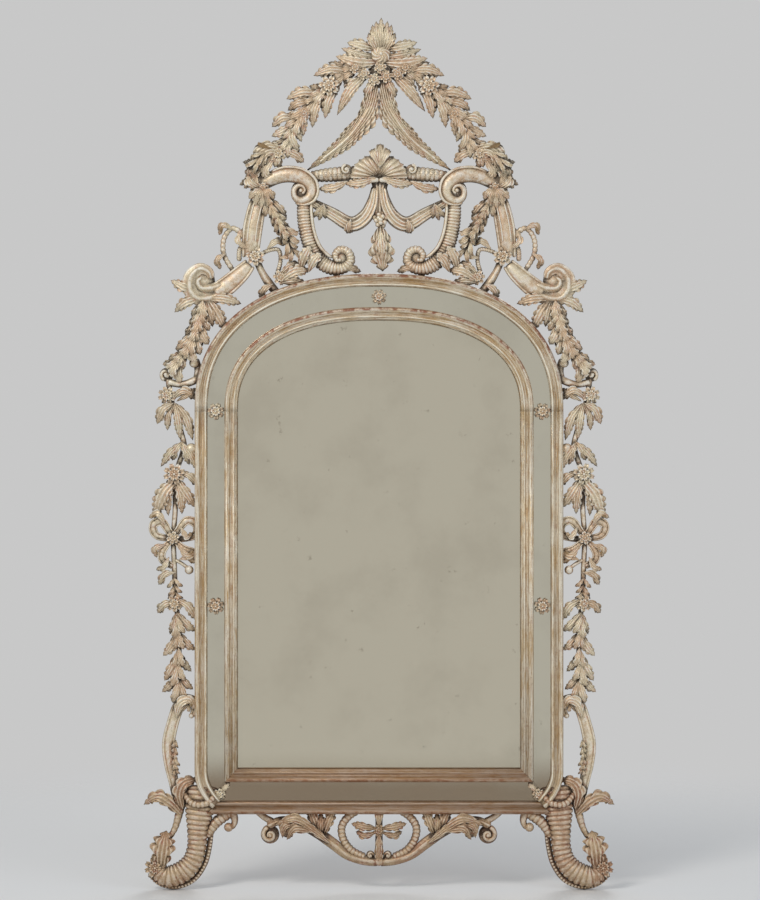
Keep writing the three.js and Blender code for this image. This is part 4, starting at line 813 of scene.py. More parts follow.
# %% Carve the bow
def ribbon_bow(work):
    flower(work, -272, 1174, 24, 22, petals=7, height=17)
    for loop in (
        [(-278, 1180, 24, 6, 5), (-298, 1218, 28, 7, 5), (-322, 1236, 28, 6, 5), (-341, 1214, 26, 6, 5),
         (-342, 1180, 24, 6, 5), (-326, 1150, 22, 6, 5), (-314, 1134, 20, 6, 6)],
        [(-276, 1176, 24, 6, 5), (-292, 1200, 28, 7, 5), (-306, 1190, 27, 6, 5),
         (-308, 1164, 22, 6, 5)],
        [(-264, 1178, 24, 5, 5), (-240, 1188, 28, 5, 5), (-221, 1188, 26, 5, 5),
         (-217, 1164, 24, 5, 5), (-226, 1130, 20, 6, 7)],
    ):
        stem(work, loop, columns=12, ribs=20, cut=0.22, grain=3)
    stem(work, [(-270, 1168, 22, 8, 8), (-258, 1140, 22, 8, 8), (-240, 1112, 20, 10, 9),
                (-222, 1092, 18, 8, 8)], columns=14, flutes=4, cut=0.16)
    flower(work, -216, 1128, 22, 18, petals=7, height=14)
    leaves(work,
           ([(-286, 1190, 28), (-306, 1206, 35), (-300, 1236, 27)], 8),
           ([(-320, 1234, 27), (-340, 1240, 33), (-352, 1222, 25)], 8),
           ([(-338, 1180, 26), (-352, 1168, 32), (-350, 1146, 24)], 8),
           ([(-246, 1190, 28), (-228, 1204, 34), (-206, 1200, 26)], 9),
           ([(-220, 1170, 26), (-200, 1176, 32), (-190, 1196, 25)], 8), thick=5)
    leaf(work, [(-214, 1122, 26), (-184, 1140, 34), (-152, 1144, 24)], 15)
    leaf(work, [(-212, 1116, 24), (-186, 1118, 32), (-160, 1110, 22)], 12)
    leaf(work, [(-216, 1134, 24), (-196, 1152, 30), (-172, 1160, 22)], 10)
    leaf(work, [(-236, 1112, 24), (-250, 1102, 30), (-262, 1082, 22)], 10)


carve_pair("ribbon_bow", ribbon_bow)

# %% [markdown]
# ## The crest's shell and crossbar
# A fluted shell fans out over a ribbed bar in the middle of the crest. A shell is a fan of
# ribs, so it is one sheet bent round its centre, with each flute a hollow between two ribs and
# its rim scalloped.

# %% Carve the shell
def fan(work, x, z, depth, radius, reach, flutes, first, last, height):
    """A shell round (x, z), from one angle to another. reach widens it sideways."""
    columns, count = flutes * 8, 14
    rows = sheet(work, columns, count)
    behind = []
    for j, row in enumerate(rows):
        run = j / count
        moves = []
        for i, vert in enumerate(row):
            share = i / columns
            angle = math.radians(first + (last - first) * share)
            rib = abs(math.cos(math.pi * flutes * share)) ** 0.8
            scallop = 1 - 0.07 * rib * run ** 3
            size = radius * (0.16 + 0.84 * run) * scallop
            bowl = height * (math.sin(math.pi * (0.2 + 0.62 * run)) + 0.2 * run)
            lift = bowl - 0.26 * height * (1 - rib) * run ** 0.4
            vert.co = spot(x + size * reach * math.cos(angle), z + size * math.sin(angle),
                           depth + lift)
            moves.append(Vector((0, (lift + 3) * MM * 0.75, 0)))
        behind.append(moves)
    give_back(work, rows, behind)


def crest_shell(work):
    stem(work, [(-152, 1350, 20, 12, 12), (-110, 1354, 22, 16, 14), (-60, 1356, 22, 18, 14),
                (0, 1356, 22, 19, 15), (60, 1356, 22, 18, 14), (110, 1354, 22, 16, 14),
                (152, 1350, 20, 12, 12)], columns=18, ribs=30, cut=0.12)
    fan(work, 2, 1345, 24, 56, 1.14, 13, 0, 180, 20)
    both_sides(work, lambda work: (
        volute(work, -72, 1364, 34, 15, height=10),
        leaf(work, [(-8, 1346, 36), (-40, 1334, 42), (-76, 1334, 32)], 12),
        leaf(work, [(-70, 1338, 32), (-98, 1325, 38), (-132, 1322, 28)], 12),
        stem(work, [(0, 1341, 42, 5, 5), (-30, 1340, 40, 5, 5), (-58, 1344, 36, 5, 5)]),
    ))
    for bend in (-13, 0, 13):
        leaf(work, [(2, 1368, 42), (2 + 0.9 * bend, 1394, 46), (3 + 1.5 * bend, 1420 - abs(bend), 37)],
             10, lobes=2, thick=6, notch=0.8)


carve("crest_shell", crest_shell)

# %% [markdown]
# ## Scrolls and stems of the crest
# Below the garlands the crest stands on two C scrolls and four stems. The outer stems have
# fillets and taper up to a leafy collar, with a spray of leaflets hanging inside them; the inner
# ones are cut with fine ribs and roll over at the foot.

# %% Carve the scrolls
def crest_scroll(work):
    stem(work, [(-268, 1318, 20, 10, 10), (-254, 1334, 22, 14, 12), (-226, 1349, 24, 16, 14),
                (-198, 1354, 26, 17, 15), (-172, 1349, 27, 17, 15), (-153, 1334, 28, 15, 14),
                (-148, 1316, 28, 13, 13), (-156, 1301, 29, 11, 12), (-172, 1296, 30, 9, 11),
                (-185, 1304, 31, 7, 10), (-187, 1319, 32, 6, 9), (-178, 1329, 32, 5, 8),
                (-167, 1327, 33, 4, 7), (-163, 1317, 33, 3.5, 6), (-170, 1312, 33, 3, 5)], columns=24)
    stem(work, [(-240, 1358, 28, 3, 4), (-222, 1366, 32, 3.2, 5), (-198, 1370, 34, 3.4, 5),
                (-166, 1364, 35, 3.4, 5), (-141, 1344, 36, 3.4, 5), (-134, 1317, 36, 3.4, 5),
                (-144, 1295, 36, 3.4, 5), (-166, 1287, 34, 3, 5), (-184, 1292, 30, 3, 4)])
    bead(work, -171, 1319, 34, 5)
    bead(work, -168, 1318, 22, 26, flat=0.4, detail=3)
    rimmed(work, [(-254, 1318, 22, 12, 11), (-266, 1290, 24, 18, 14), (-276, 1245, 25, 21, 16),
                  (-281, 1206, 24, 20, 15), (-283, 1172, 20, 17, 12)], rim=3.6, columns=24)
    for shift in (-9, 9):
        stem(work, [(-258 + 0.6 * shift, 1308, 30, 2, 3), (-266 + shift, 1288, 37, 2, 3),
                    (-276 + shift, 1245, 39, 2, 3), (-281 + shift, 1206, 37, 2, 3)], columns=8)
    for dx, dz in ((-26, -14), (-15, -28), (-2, -34), (11, -30), (22, -16)):
        leaf(work, [(-254, 1320, 36), (-254 + 0.6 * dx, 1318 + 0.3 * dz, 43),
                    (-256 + 1.15 * dx, 1316 + 1.1 * dz, 36)], 9, lobes=3, thick=5)
    flower(work, -256, 1322, 30, 15, petals=6, height=12)
    leaf(work, [(-262, 1322, 30), (-282, 1334, 36), (-288, 1352, 28)], 11)
    spray = [(-248, 1310, 28), (-230, 1268, 35), (-208, 1226, 35), (-190, 1186, 28)]
    leaf(work, spray, 17, lobes=6, lean=1.6, root=0.16)
    leafy_run(work, spray, 38, 18, seed=71, spread=0.5, width=0.36, lobes=2)
    leafy_run(work, [(x, z, d + 5) for x, z, d in spray[:3]], 30, 17, seed=72, spread=0.2,
              width=0.36, lobes=2)
    leaf(work, [(-240, 1300, 28), (-222, 1280, 36), (-204, 1258, 26)], 12)


carve_pair("crest_scroll", crest_scroll)


def ribbed_stem(work):
    stem(work, [(-165, 1298, 20, 16, 13), (-164, 1262, 23, 17, 17), (-158, 1224, 23, 18, 18),
                (-146, 1188, 23, 18, 18), (-126, 1162, 23, 18, 17), (-100, 1148, 24, 16, 16),
                (-76, 1150, 25, 13, 15), (-63, 1165, 26, 11, 14), (-68, 1183, 28, 10, 13),
                (-85, 1189, 29, 9, 12), (-96, 1178, 30, 8, 11), (-92, 1166, 31, 6, 10),
                (-82, 1167, 32, 4, 8)], columns=20, ribs=44, cut=0.14)
    stem(work, [(-149, 1296, 30, 4, 6), (-148, 1262, 33, 4, 6), (-142, 1226, 34, 4, 6),
                (-130, 1196, 34, 4, 6), (-114, 1178, 32, 4, 6), (-102, 1172, 30, 3, 5)])
    bead(work, -84, 1170, 24, 18, flat=0.6, detail=3)
    leaf(work, [(-88, 1146, 26), (-66, 1147, 30), (-40, 1141, 24)], 9)
    leaf(work, [(-172, 1150, 24), (-164, 1172, 38), (-150, 1196, 42)], 15, curl=0.4)
    leaf(work, [(-154, 1142, 28), (-144, 1162, 40), (-128, 1180, 42)], 13, curl=0.4)


carve_pair("ribbed_stem", ribbed_stem)

# %% [markdown]
# ## Drapery and pedestal
# A bell shaped pedestal stands under the shell, and two swags of cloth hang from it to the
# ribbed stems. The folds run along the cloth, so the swags are stems with many flutes. A bunch
# of berries and one long leaf hang below, and the berries are set on a sunflower's spiral.

# %% Carve the drapery
def drapery_side(work):
    for lift, drop in ((0, 0), (6, -10)):
        stem(work, [(-8, 1330 + drop / 2, 22 + lift, 8, 8), (-14, 1296 + drop, 26 + lift, 12, 9),
                    (-32, 1264 + drop, 28 + lift, 13, 10), (-62, 1250 + drop, 28 + lift, 12, 9),
                    (-102, 1272 + drop, 26 + lift, 10, 8),
                    (-156, 1300 + drop / 3, 22 + lift, 7, 7)], flutes=8, cut=0.34)
    leaf(work, [(-62, 1254, 36), (-66, 1240, 38), (-64, 1226, 28)], 10)
    for x, z in ((-118, 1258), (-132, 1254), (-145, 1260)):
        leaf(work, [(-122, 1288, 32), ((x - 122) / 2, (z + 1288) / 2, 36), (x, z, 26)], 6, lobes=3)


def crest_drapery(work):
    stem(work, [(2, 1346, 22, 23, 14), (2, 1326, 22, 16, 14), (2, 1300, 24, 10, 12),
                (2, 1272, 24, 19, 14), (2, 1252, 22, 16, 12)], flutes=12, cut=0.24)
    for k in range(12):
        angle, reach = k * 2.4, 4.4 * math.sqrt(k)
        bead(work, 3 + reach * math.cos(angle), 1254 + reach * math.sin(angle), 42 - 0.9 * k, 6)
    leaf(work, [(3, 1240, 26), (5, 1196, 38), (8, 1142, 26)], 31, lobes=4, thick=9, notch=0.46)
    leaf(work, [(3, 1230, 36), (5, 1196, 44), (7, 1164, 36)], 13, lobes=4)
    both_sides(work, drapery_side)


carve("crest_drapery", crest_drapery)

# %% [markdown]
# ## Palms, garlands and finial
# The top of the crest is the richest carving. Two feathery palms fall from the middle to the
# scrolls, a garland of leaves and flowers runs down each shoulder of the crest, and a spray of
# leaves over a rose is the finial.

# %% Carve the palms
SEAM_GAP = 0.3  # each palm stays this far from the centre line


def crest_palm(work):
    spine = [(-8, 1560, 24), (-22, 1500, 31), (-52, 1453, 33), (-82, 1421, 31), (-124, 1388, 27),
             (-158, 1364, 22)]
    leaf(work, spine, 24, lobes=13, thick=8, root=0.4, lean=2.6, notch=0.68, flutes=5)
    for shift, wide in ((-9, 2.4), (0, 3.2), (9, 2.4)):
        stem(work, [(x + shift * 0.7, z + shift * 0.7, d + 5.5 - 0.12 * abs(shift), wide, wide)
                    for x, z, d in spine[1:-1]], columns=8)
    stem(work, [(-11, 1556, 18, 6, 8), (-24, 1504, 24, 6, 8), (-60, 1450, 26, 6, 8),
                (-148, 1372, 20, 5, 7)])
    for vert in work.verts:
        vert.co.x = min(vert.co.x, -SEAM_GAP * MM)


carve_pair("crest_palm", crest_palm)

# %% Carve the crest garland
def crest_garland(work):
    spine = [(-40, 1594, 20), (-80, 1572, 20), (-112, 1546, 22), (-150, 1510, 22), (-184, 1464, 22),
             (-202, 1424, 22), (-230, 1394, 22), (-262, 1366, 20), (-274, 1336, 20)]
    stem(work, [(x, z, d, 9, 9) for x, z, d in spine])
    leafy_run(work, [(x, z, d + 3) for x, z, d in spine], 54, 34, seed=41, spread=0.66,
              width=0.38, lobes=4)
    leafy_run(work, [(x, z, d + 8) for x, z, d in spine], 44, 28, seed=42, spread=0.32, width=0.4)
    leaves(work,
           ([(-66, 1580, 26), (-106, 1584, 34), (-143, 1572, 26)], 14),
           ([(-128, 1530, 24), (-166, 1534, 32), (-203, 1521, 24)], 15),
           ([(-146, 1512, 24), (-176, 1510, 32), (-200, 1496, 24)], 12),
           ([(-180, 1474, 24), (-210, 1478, 32), (-235, 1460, 24)], 14),
           ([(-92, 1550, 24), (-110, 1516, 34), (-119, 1478, 26)], 13),
           ([(-122, 1530, 24), (-140, 1498, 34), (-147, 1458, 26)], 13),
           ([(-156, 1500, 24), (-172, 1472, 34), (-176, 1438, 24)], 13),
           ([(-186, 1462, 24), (-190, 1432, 34), (-176, 1402, 24)], 12),
           ([(-208, 1404, 26), (-188, 1398, 32), (-166, 1382, 24)], 12),
           ([(-232, 1402, 24), (-254, 1408, 32), (-275, 1392, 24)], 13),
           ([(-252, 1378, 24), (-276, 1370, 32), (-291, 1344, 24)], 13),
           ([(-250, 1372, 24), (-246, 1356, 32), (-232, 1344, 24)], 10))
    tassel = [(-212, 1402, 30), (-242, 1406, 38), (-266, 1382, 38), (-281, 1338, 28)]
    leaf(work, tassel, 21, lobes=7, notch=0.78, root=0.25)
    leafy_run(work, tassel[:3], 40, 15, seed=43, spread=0.34, width=0.28, lobes=2)
    flower(work, -110, 1548, 30, 24, petals=7, height=16)
    flower(work, -222, 1400, 29, 20, petals=7, height=14)
    flower(work, -166, 1486, 30, 15, petals=6, height=12)


carve_pair("crest_garland", crest_garland)

# %% Carve the finial
def crest_finial(work):
    stem(work, [(4, 1545, 18, 16, 11), (4, 1576, 22, 28, 14), (4, 1625, 22, 20, 13),
                (4, 1656, 20, 11, 10)])
    for dx, dz in ((0, 0), (-14, -8), (17, -8), (-24, -16), (28, -16), (-34, -34), (38, -34)):
        leaf(work, [(4 + 0.2 * dx, 1622, 30), (4 + 0.6 * dx, 1660 + 0.4 * dz, 40),
                    (5 + 0.8 * dx, 1698 + dz, 32)], 10, lobes=4, thick=7, root=0.2)
    leaves(work,
           ([(-6, 1630, 28), (-38, 1637, 36), (-69, 1644, 28)], 15),
           ([(14, 1630, 28), (48, 1634, 36), (83, 1645, 28)], 15),
           ([(-6, 1600, 28), (-48, 1600, 36), (-94, 1614, 28)], 19),
           ([(14, 1600, 28), (56, 1598, 36), (106, 1610, 28)], 19),
           ([(-6, 1612, 26), (-44, 1618, 34), (-82, 1632, 26)], 12),
           ([(14, 1612, 26), (50, 1616, 34), (92, 1630, 26)], 12),
           ([(-28, 1572, 24), (-56, 1556, 32), (-78, 1532, 24)], 12),
           ([(32, 1572, 24), (62, 1556, 32), (84, 1532, 24)], 12),
           ([(-10, 1566, 26), (-20, 1546, 33), (-30, 1524, 26)], 11),
           ([(16, 1566, 26), (26, 1546, 33), (36, 1524, 26)], 11))
    for hand, x, z in ((-1, -92, 1486), (1, 101, 1494)):
        leaf(work, [(2 + 22 * hand, 1580, 26), (2 + 64 * hand, 1538, 36), (x, z, 24)], 13, notch=0.85)
    bead(work, 4, 1618, 32, 22, flat=0.55, detail=3)
    for k in range(9):
        curl = [(math.radians(40 * k + 20 * j), 21 - 4.2 * j, 33 + 8 * math.sqrt(j / 4))
                for j in range(5)]
        stem(work, [(4 + r * math.cos(a), 1618 + r * math.sin(a), d, 3.4, 4.5) for a, r, d in curl],
             columns=8, grain=3)
    bead(work, 4, 1618, 42, 5)
    for x, z in ((-34, 1574), (-10, 1562), (16, 1568), (41, 1574), (-52, 1588), (58, 1588), (3, 1588)):
        flower(work, x, z, 32, 15, petals=6, height=12)


carve("crest_finial", crest_finial)
print("crest carved:", sum(len(o.data.polygons) for o in carvings.values()), "faces so far")

# %% [markdown]
# ## The hanging rings
# Two iron D rings hang behind the frame and swing in their plates. A ring is a bent wire: one
# stem follows the D and a short bar closes it inside the eye.

# %% Bend the rings
WIRE = 1.95  # its radius
HINGE_DEPTH = -5


def hanger_ring(work):
    x, z, radius, arm = -365, 760, 13, 10
    loop = [(x - radius, z + up) for up in (1, -5, -arm)]
    loop += [(x - radius * math.cos(math.radians(a)), z - arm - radius * math.sin(math.radians(a)))
             for a in range(18, 180, 18)]
    loop += [(x + radius, z + up) for up in (-arm, -5, 1)]
    for path in (loop, [(x - 14, z), (x, z), (x + 14, z)]):
        stem(work, [(px, pz, HINGE_DEPTH, WIRE, WIRE) for px, pz in path], columns=14, grain=2.0)


for side, hand in SIDES:
    carve(f"hanger_ring_{hand}", hanger_ring, side, body=f"ring_{hand}")

# %% [markdown]
# ## Where dirt and painted shade gather
# Old gilding is bright where it stands out and brown where dust has settled, and the same
# marks also paint the light: a painted highlight on what stands out and painted shade in the
# hollows. The materials need to know which is which, so the whole front is measured as a height
# map: a grid of small cells that keeps the greatest depth found in each. Its blurred copy is the
# level around a place, and the difference between a vertex and that level is its relief, in
# millimetres. A wide blur finds the hollows, where dirt lies and where shade is painted, and a
# narrow one finds the ridges that hands rub and that get a painted highlight. Both are kept on the
# mesh as attributes, which the shaders read. A third one marks what looks backwards, since nobody
# gilds the side that faces the wall.

# %% Measure the relief of the front
CELL = 0.002
LEFT, BELOW = 0.6, 0.3  # how far the grid reaches past the origin
GRID_ROWS, GRID_COLUMNS = 1060, 600
LEAST_DEPTH = 0.005  # what is nearer to the wall counts as bare


def read(source, what, kind=np.float32, size=3):
    """The values of a whole collection, one row for each of its members."""
    values = np.empty(len(source) * size, kind)
    source.foreach_get(what, values)
    return values.reshape(-1, size) if size > 1 else values


def front_points(mesh):
    """Points spread over the faces that look forwards."""
    starts = read(mesh.polygons, "loop_start", np.int32, 1)
    totals = read(mesh.polygons, "loop_total", np.int32, 1)
    corner = read(mesh.vertices, "co")[read(mesh.loops, "vertex_index", np.int32, 1)]
    following = np.arange(1, len(corner) + 1)
    following[starts + totals - 1] = starts
    forwards = np.repeat(read(mesh.polygons, "normal")[:, 1] < -0.05, totals)
    a, b = corner[forwards], corner[following][forwards]
    centre = np.repeat(read(mesh.polygons, "center"), totals, axis=0)[forwards]
    return np.concatenate([centre, a, (a + b) / 2, (a + centre) / 2, (a + b + 2 * centre) / 4])


def cells(points):
    """The cell of the height map that each point falls in."""
    return (((points[:, 2] + BELOW) / CELL).astype(int), ((points[:, 0] + LEFT) / CELL).astype(int))


def blurred(grid, reach):
    """Mean over a square of cells, by running sums along both directions."""
    size = 2 * reach + 1
    for axis in (0, 1):
        edges = [(reach + 1, reach) if k == axis else (0, 0) for k in (0, 1)]
        total = np.cumsum(np.pad(grid, edges), axis)
        high = np.take(total, np.arange(size, total.shape[axis]), axis)
        low = np.take(total, np.arange(0, total.shape[axis] - size), axis)
        grid = (high - low) / size
    return grid


height = np.zeros((GRID_ROWS, GRID_COLUMNS))
dressed = [o for name, o in carvings.items() if not name.startswith("hanger")]
for obj in dressed:
    points = front_points(obj.data)
    np.maximum.at(height, cells(points), -points[:, 1])
for _ in range(2):
    near = np.stack([np.roll(height, (i, j), (0, 1)) for i in (-1, 0, 1) for j in (-1, 0, 1)])
    height = np.where(height > 0, height, near.max(0))
covered = (height > LEAST_DEPTH).astype(float)
levels = {reach: blurred(height * covered, reach) / np.maximum(blurred(covered, reach), 0.05)
          for reach in (1, 2, 6)}
for obj in dressed:
    points = read(obj.data.vertices, "co")
    place = cells(points)
    marks = {label: (-points[:, 1] - 0.5 * levels[a][place] - 0.5 * levels[b][place]) / MM
             for label, a, b in (("relief", 2, 6), ("ridges", 1, 2))}
    marks["bare"] = (read(obj.data.vertices, "normal")[:, 1] > 0.25).astype(np.float32)
    for label, value in marks.items():
        obj.data.attributes.new(label, "FLOAT", "POINT").data.foreach_set("value", value)
print("relief measured on", len(dressed), "carvings,", int(covered.sum()), "cells covered")

# %% [markdown]
# ## Building materials
# Each finish is a Principled shader fed by nodes. Effects that several finishes share are
# node groups, made once with named inputs and outputs. A small helper adds a node, sets its
# values and links its inputs. What it gives back can be added, subtracted and multiplied, and
# each sum makes its own maths node, so a material reads as a list of short steps.

# %% Helpers for nodes
class Value:
    """An output of a node. Sums with it add the maths nodes that work them out."""

    def __init__(self, socket):
        self.socket = socket
        self.tree = socket.id_data

    def __getitem__(self, name):
        """Another output of the same node."""
        return Value(self.socket.node.outputs[name])

    def __add__(self, other):
        return maths("ADD", self, other)

    def __sub__(self, other):
        return maths("SUBTRACT", self, other)

    def __rsub__(self, other):
        return maths("SUBTRACT", other, self)

    def __mul__(self, other):
        return maths("MULTIPLY", self, other)


def add(tree, kind, settings=None, **inputs):
    """A node with settings, whose inputs are fixed or the outputs of other nodes."""
    node = tree.nodes.new(kind)
    for key, value in (settings or {}).items():
        setattr(node, key, value)
    for key, value in inputs.items():
        numbered = key[0] == "i" and key[1:].isdigit()
        socket = node.inputs[int(key[1:]) if numbered else key.replace("_", " ")]
        if isinstance(value, Value):
            tree.links.new(value.socket, socket)
        else:
            socket.default_value = value
    return Value(node.outputs[0])


def maths(operation, a, b=0.5):
    tree = (a if isinstance(a, Value) else b).tree
    return add(tree, "ShaderNodeMath", {"operation": operation}, i0=a, i1=b)


def clamped(value):
    """Keeps the sum of a maths node between 0 and 1."""
    value.socket.node.use_clamp = True
    return value


def paint(value):
    """A colour written as six hexadecimal digits, made linear for Blender."""
    parts = [int(value[i:i + 2], 16) / 255 for i in (0, 2, 4)]
    linear = [p / 12.92 if p <= 0.04045 else ((p + 0.055) / 1.055) ** 2.4 for p in parts]
    return tuple(linear + [1.0])


def mix(share, a, b):
    """Mixes two colours: b takes the place of a by the share."""
    return add(share.tree, "ShaderNodeMix", {"data_type": "RGBA"}, i0=share, i6=a, i7=b)[2]


def span(value, low, high, to_low=0.0, to_high=1.0):
    """Stretches the part of a value between low and high."""
    return add(value.tree, "ShaderNodeMapRange", {"interpolation_type": "SMOOTHSTEP"}, Value=value,
               From_Min=low, From_Max=high, To_Min=to_low, To_Max=to_high)


def noise(where, scale, detail=4.0, rough=0.55):
    return add(where.tree, "ShaderNodeTexNoise", Vector=where, Scale=scale, Detail=detail,
               Roughness=rough)["Fac"]


def bump(height, strength, distance):
    return add(height.tree, "ShaderNodeBump", Height=height, Strength=strength, Distance=distance)


def place_on(tree):
    """The place of a point on its piece, in metres."""
    return add(tree, "ShaderNodeTexCoord")["Object"]


def attribute(tree, name):
    return add(tree, "ShaderNodeAttribute", {"attribute_name": name})["Fac"]


def feed(node, **links):
    for key, value in links.items():
        value.tree.links.new(value.socket, node.inputs[key.replace("_", " ")])


NUMBER, COLOUR, TRIPLE = "NodeSocketFloat", "NodeSocketColor", "NodeSocketVector"


def new_group(name, takes, gives):
    """A group's tree, what it is given and its last node. takes and gives hold socket types."""
    tree = bpy.data.node_groups.new(name, "ShaderNodeTree")
    for sockets, way in ((takes, "INPUT"), (gives, "OUTPUT")):
        for label, kind in sockets.items():
            tree.interface.new_socket(label, in_out=way, socket_type=kind)
    return tree, add(tree, "NodeGroupInput"), tree.nodes.new("NodeGroupOutput")


def new_material(name, **fixed):
    """A material with a Principled shader, whose fixed values sit on its own sockets."""
    material = bpy.data.materials.new(name)
    material.use_nodes = True
    tree = material.node_tree
    shader = tree.nodes["Principled BSDF"]
    for key, value in fixed.items():
        shader.inputs[key.replace("_", " ")].default_value = value
    return material, tree, shader


print("node helpers ready")

# %% [markdown]
# ## Old silver gilding
# The carvings were covered with white gesso, a red clay called bole, and thin metal leaf under
# a warm varnish. Handling rubs the leaf down to the bole and the gesso on the high places,
# while dust turns the hollows brown. The same coats also paint the light: the ridges are
# lightened as a painted highlight as well as by wear, and the hollows are darkened as painted shade
# as well as by dust. One group lays these coats over each other by the relief, the ridges and a
# few noises, and each finish gives it its own colours, its amount of rubbing and its amount of dirt and
# shade.
# What looks backwards stays bare limewood.

# %% The group for aged gilding
# The dark coat and its amount stand for dirt and painted shade together, and the gesso coat is also a
# painted highlight.
gilding, given, out = new_group(
    "aged gilding",
    {"Leaf": COLOUR, "Varnish": COLOUR, "Clay": COLOUR, "Gesso": COLOUR, "Dirt": COLOUR,
     "Rubbing": NUMBER, "Soiling": NUMBER},
    {"Color": COLOUR, "Roughness": NUMBER, "Metallic": NUMBER, "Height": NUMBER},
)
where = place_on(gilding)
relief, ridges, bare = (attribute(gilding, name) for name in ("relief", "ridges", "bare"))
broad = noise(where, 16.0)
patchy = noise(where, 70.0, 6.0, 0.62)
fine = noise(where, 420.0, 5.0, 0.6)
clay = clamped(span(patchy, 0.52, 0.62) * given["Rubbing"])
# Painted highlight as well as wear: the ridges are lightened towards the gesso coat.
wear_and_painted_highlight = span(ridges + (patchy - 0.5) * 4.0, -0.5, 1.1) * 0.85
# Painted shade as well as dirt: the hollows found by the relief turn towards the dark coat.
dirt_and_painted_shade = clamped(span(relief + (patchy - 0.5) * 7.0, 0.2, -5.0) * given["Soiling"])
chipped = span(fine, 0.44, 0.34) * 0.55
speck = span(fine, 0.56, 0.68) * 0.55
limewood = mix(patchy, paint("7E6346"), paint("AE9268"))
colour = mix(span(broad, 0.36, 0.66), given["Leaf"], given["Varnish"])
for share, coat in ((clay, given["Clay"]), (wear_and_painted_highlight, given["Gesso"]), (dirt_and_painted_shade, given["Dirt"]),
                    (chipped, given["Gesso"]), (speck, given["Dirt"]), (bare, limewood)):
    colour = mix(share, colour, coat)
feed(out, Color=colour,
     Roughness=dirt_and_painted_shade * 0.25 + patchy * 0.3 + 0.3,
     Metallic=clamped(clamped(0.4 - (dirt_and_painted_shade + wear_and_painted_highlight) * 0.35) - bare),
     Height=fine * 0.35 + patchy * 0.65)
print("aged gilding:", len(gilding.nodes), "nodes")


# %% Three gilded finishes
def gilded(name, rubbing, soiling, **coats):
    material, tree, shader = new_material(name, Specular_IOR_Level=0.4)
    colours = {key: paint(value) for key, value in coats.items()}
    aged = add(tree, "ShaderNodeGroup", {"node_tree": gilding}, Rubbing=rubbing, Soiling=soiling,
               **colours)
    feed(shader, Base_Color=aged["Color"], Roughness=aged["Roughness"],
         Metallic=aged["Metallic"], Normal=bump(aged["Height"], 0.5, 0.002))
    return material, tree, shader, aged


# In each finish the dark colour is both dirt and painted shade, and the gesso colour is also the
# painted highlight on the ridges.
carved_gilding = gilded("carved gilding", 0.75, 0.95, Leaf="DFD0B2", Varnish="D0B190",
                        Clay="BF9478", Gesso="F4EEE0", Dirt="51453A")[0]
base_gilding = gilded("base gilding", 1.0, 0.95, Leaf="C2A886", Varnish="AC8466",
                      Clay="98674F", Gesso="E2D2BC", Dirt="48362A")[0]

# %% [markdown]
# The mouldings were gilded in stripes: the fat outer bead, the hollow and the narrow inner band
# each wore in their own way. The sides are pale and golden, while the bottom lengths and the
# round of the arch keep more red clay. The hollow also gets a little painted shade, and the
# bottom lengths are darkened brown across every band, partly for their own browner colour and
# partly as painted shade. The profile's own coordinate, which the sweep left on each vertex, tells
# the material which band it is in. The height tells it where the arch begins, and the distance
# from the mitres where the bottom lengths end.

# %% The mouldings' stripes
INNER_MITRE, OUTER_MITRE = 0.358, 0.3266  # where they cross the height of zero, in metres
HAIR = 0.001  # the width over which a colour changes at an edge

# The mouldings' dark colour is also dirt and painted shade, and their gesso colour is also a painted
# highlight.
gilt_moulding, tree, shader, aged = gilded("gilt moulding", 0.5, 0.22, Leaf="F2E9D6",
                                           Varnish="E2CDA8", Clay="BE9472", Gesso="F4ECD8",
                                           Dirt="6A5034")
across = attribute(tree, "across")
where = place_on(tree)
parts = add(tree, "ShaderNodeSeparateXYZ", Vector=where)
x, z = parts["X"], parts["Z"]
streaks = noise(add(tree, "ShaderNodeCombineXYZ", X=across * 13.0, Y=x * 22.0, Z=z * 22.0),
                1.0, 6.0, 0.7)
colour = mix(span(streaks, 0.48, 0.4) * 0.75, aged["Color"], paint("BE9A66"))
colour = mix(span(streaks, 0.52, 0.6) * 0.65, colour, paint("F6EFE0"))
broken_lines = (span(maths("SINE", across * 34.0), 0.1, 0.9)
                * span(streaks, 0.6, 0.45, 0.15, 0.5))
colour = mix(broken_lines, colour, paint("8E6E50"))
mitre = add(tree, "ShaderNodeMapRange", Value=z, From_Min=-HAIR, From_Max=HAIR,
            To_Min=OUTER_MITRE, To_Max=INNER_MITRE)
within_mitre = mitre - (maths("ABSOLUTE", x) + z)
low_parts = span(within_mitre, -HAIR, HAIR) * span(z, 0.052, 0.048)
red_parts = maths("MAXIMUM", low_parts, span(z, 0.82, 1.0))
flakes = span(noise(where, 75.0, 6.0, 0.7), 0.42, 0.62)
outer_bead = span(across, 0.36, 0.2)
red = outer_bead * (red_parts * 0.8 + 0.1)
colour = mix(clamped(red * (flakes + 0.25)), colour, paint("96664E"))
# Painted shade: the hollow of the profile is darkened a little towards brown.
from_hollow = maths("ABSOLUTE", across - 0.56)
colour = mix(span(from_hollow, 0.12, 0.03, 0.0, 0.15), colour, paint("8C6B45"))
# Partly the bottom lengths' own browner colour and partly painted shade: they are darkened brown across
# every band.
colour = mix(low_parts * 0.65, colour, paint("92694A"))
feed(shader, Base_Color=colour)

# %% [markdown]
# ## Mirror glass
# The plates are old silvered glass: grey and a little green, cloudy, with a few foxed spots.
# Their tint is also darker low down, a painted reflection of the floor on top of the one that the
# metal reflects. Silvered glass is nearly all reflection, so the shader is a smooth metal with a
# tint that the nodes vary.

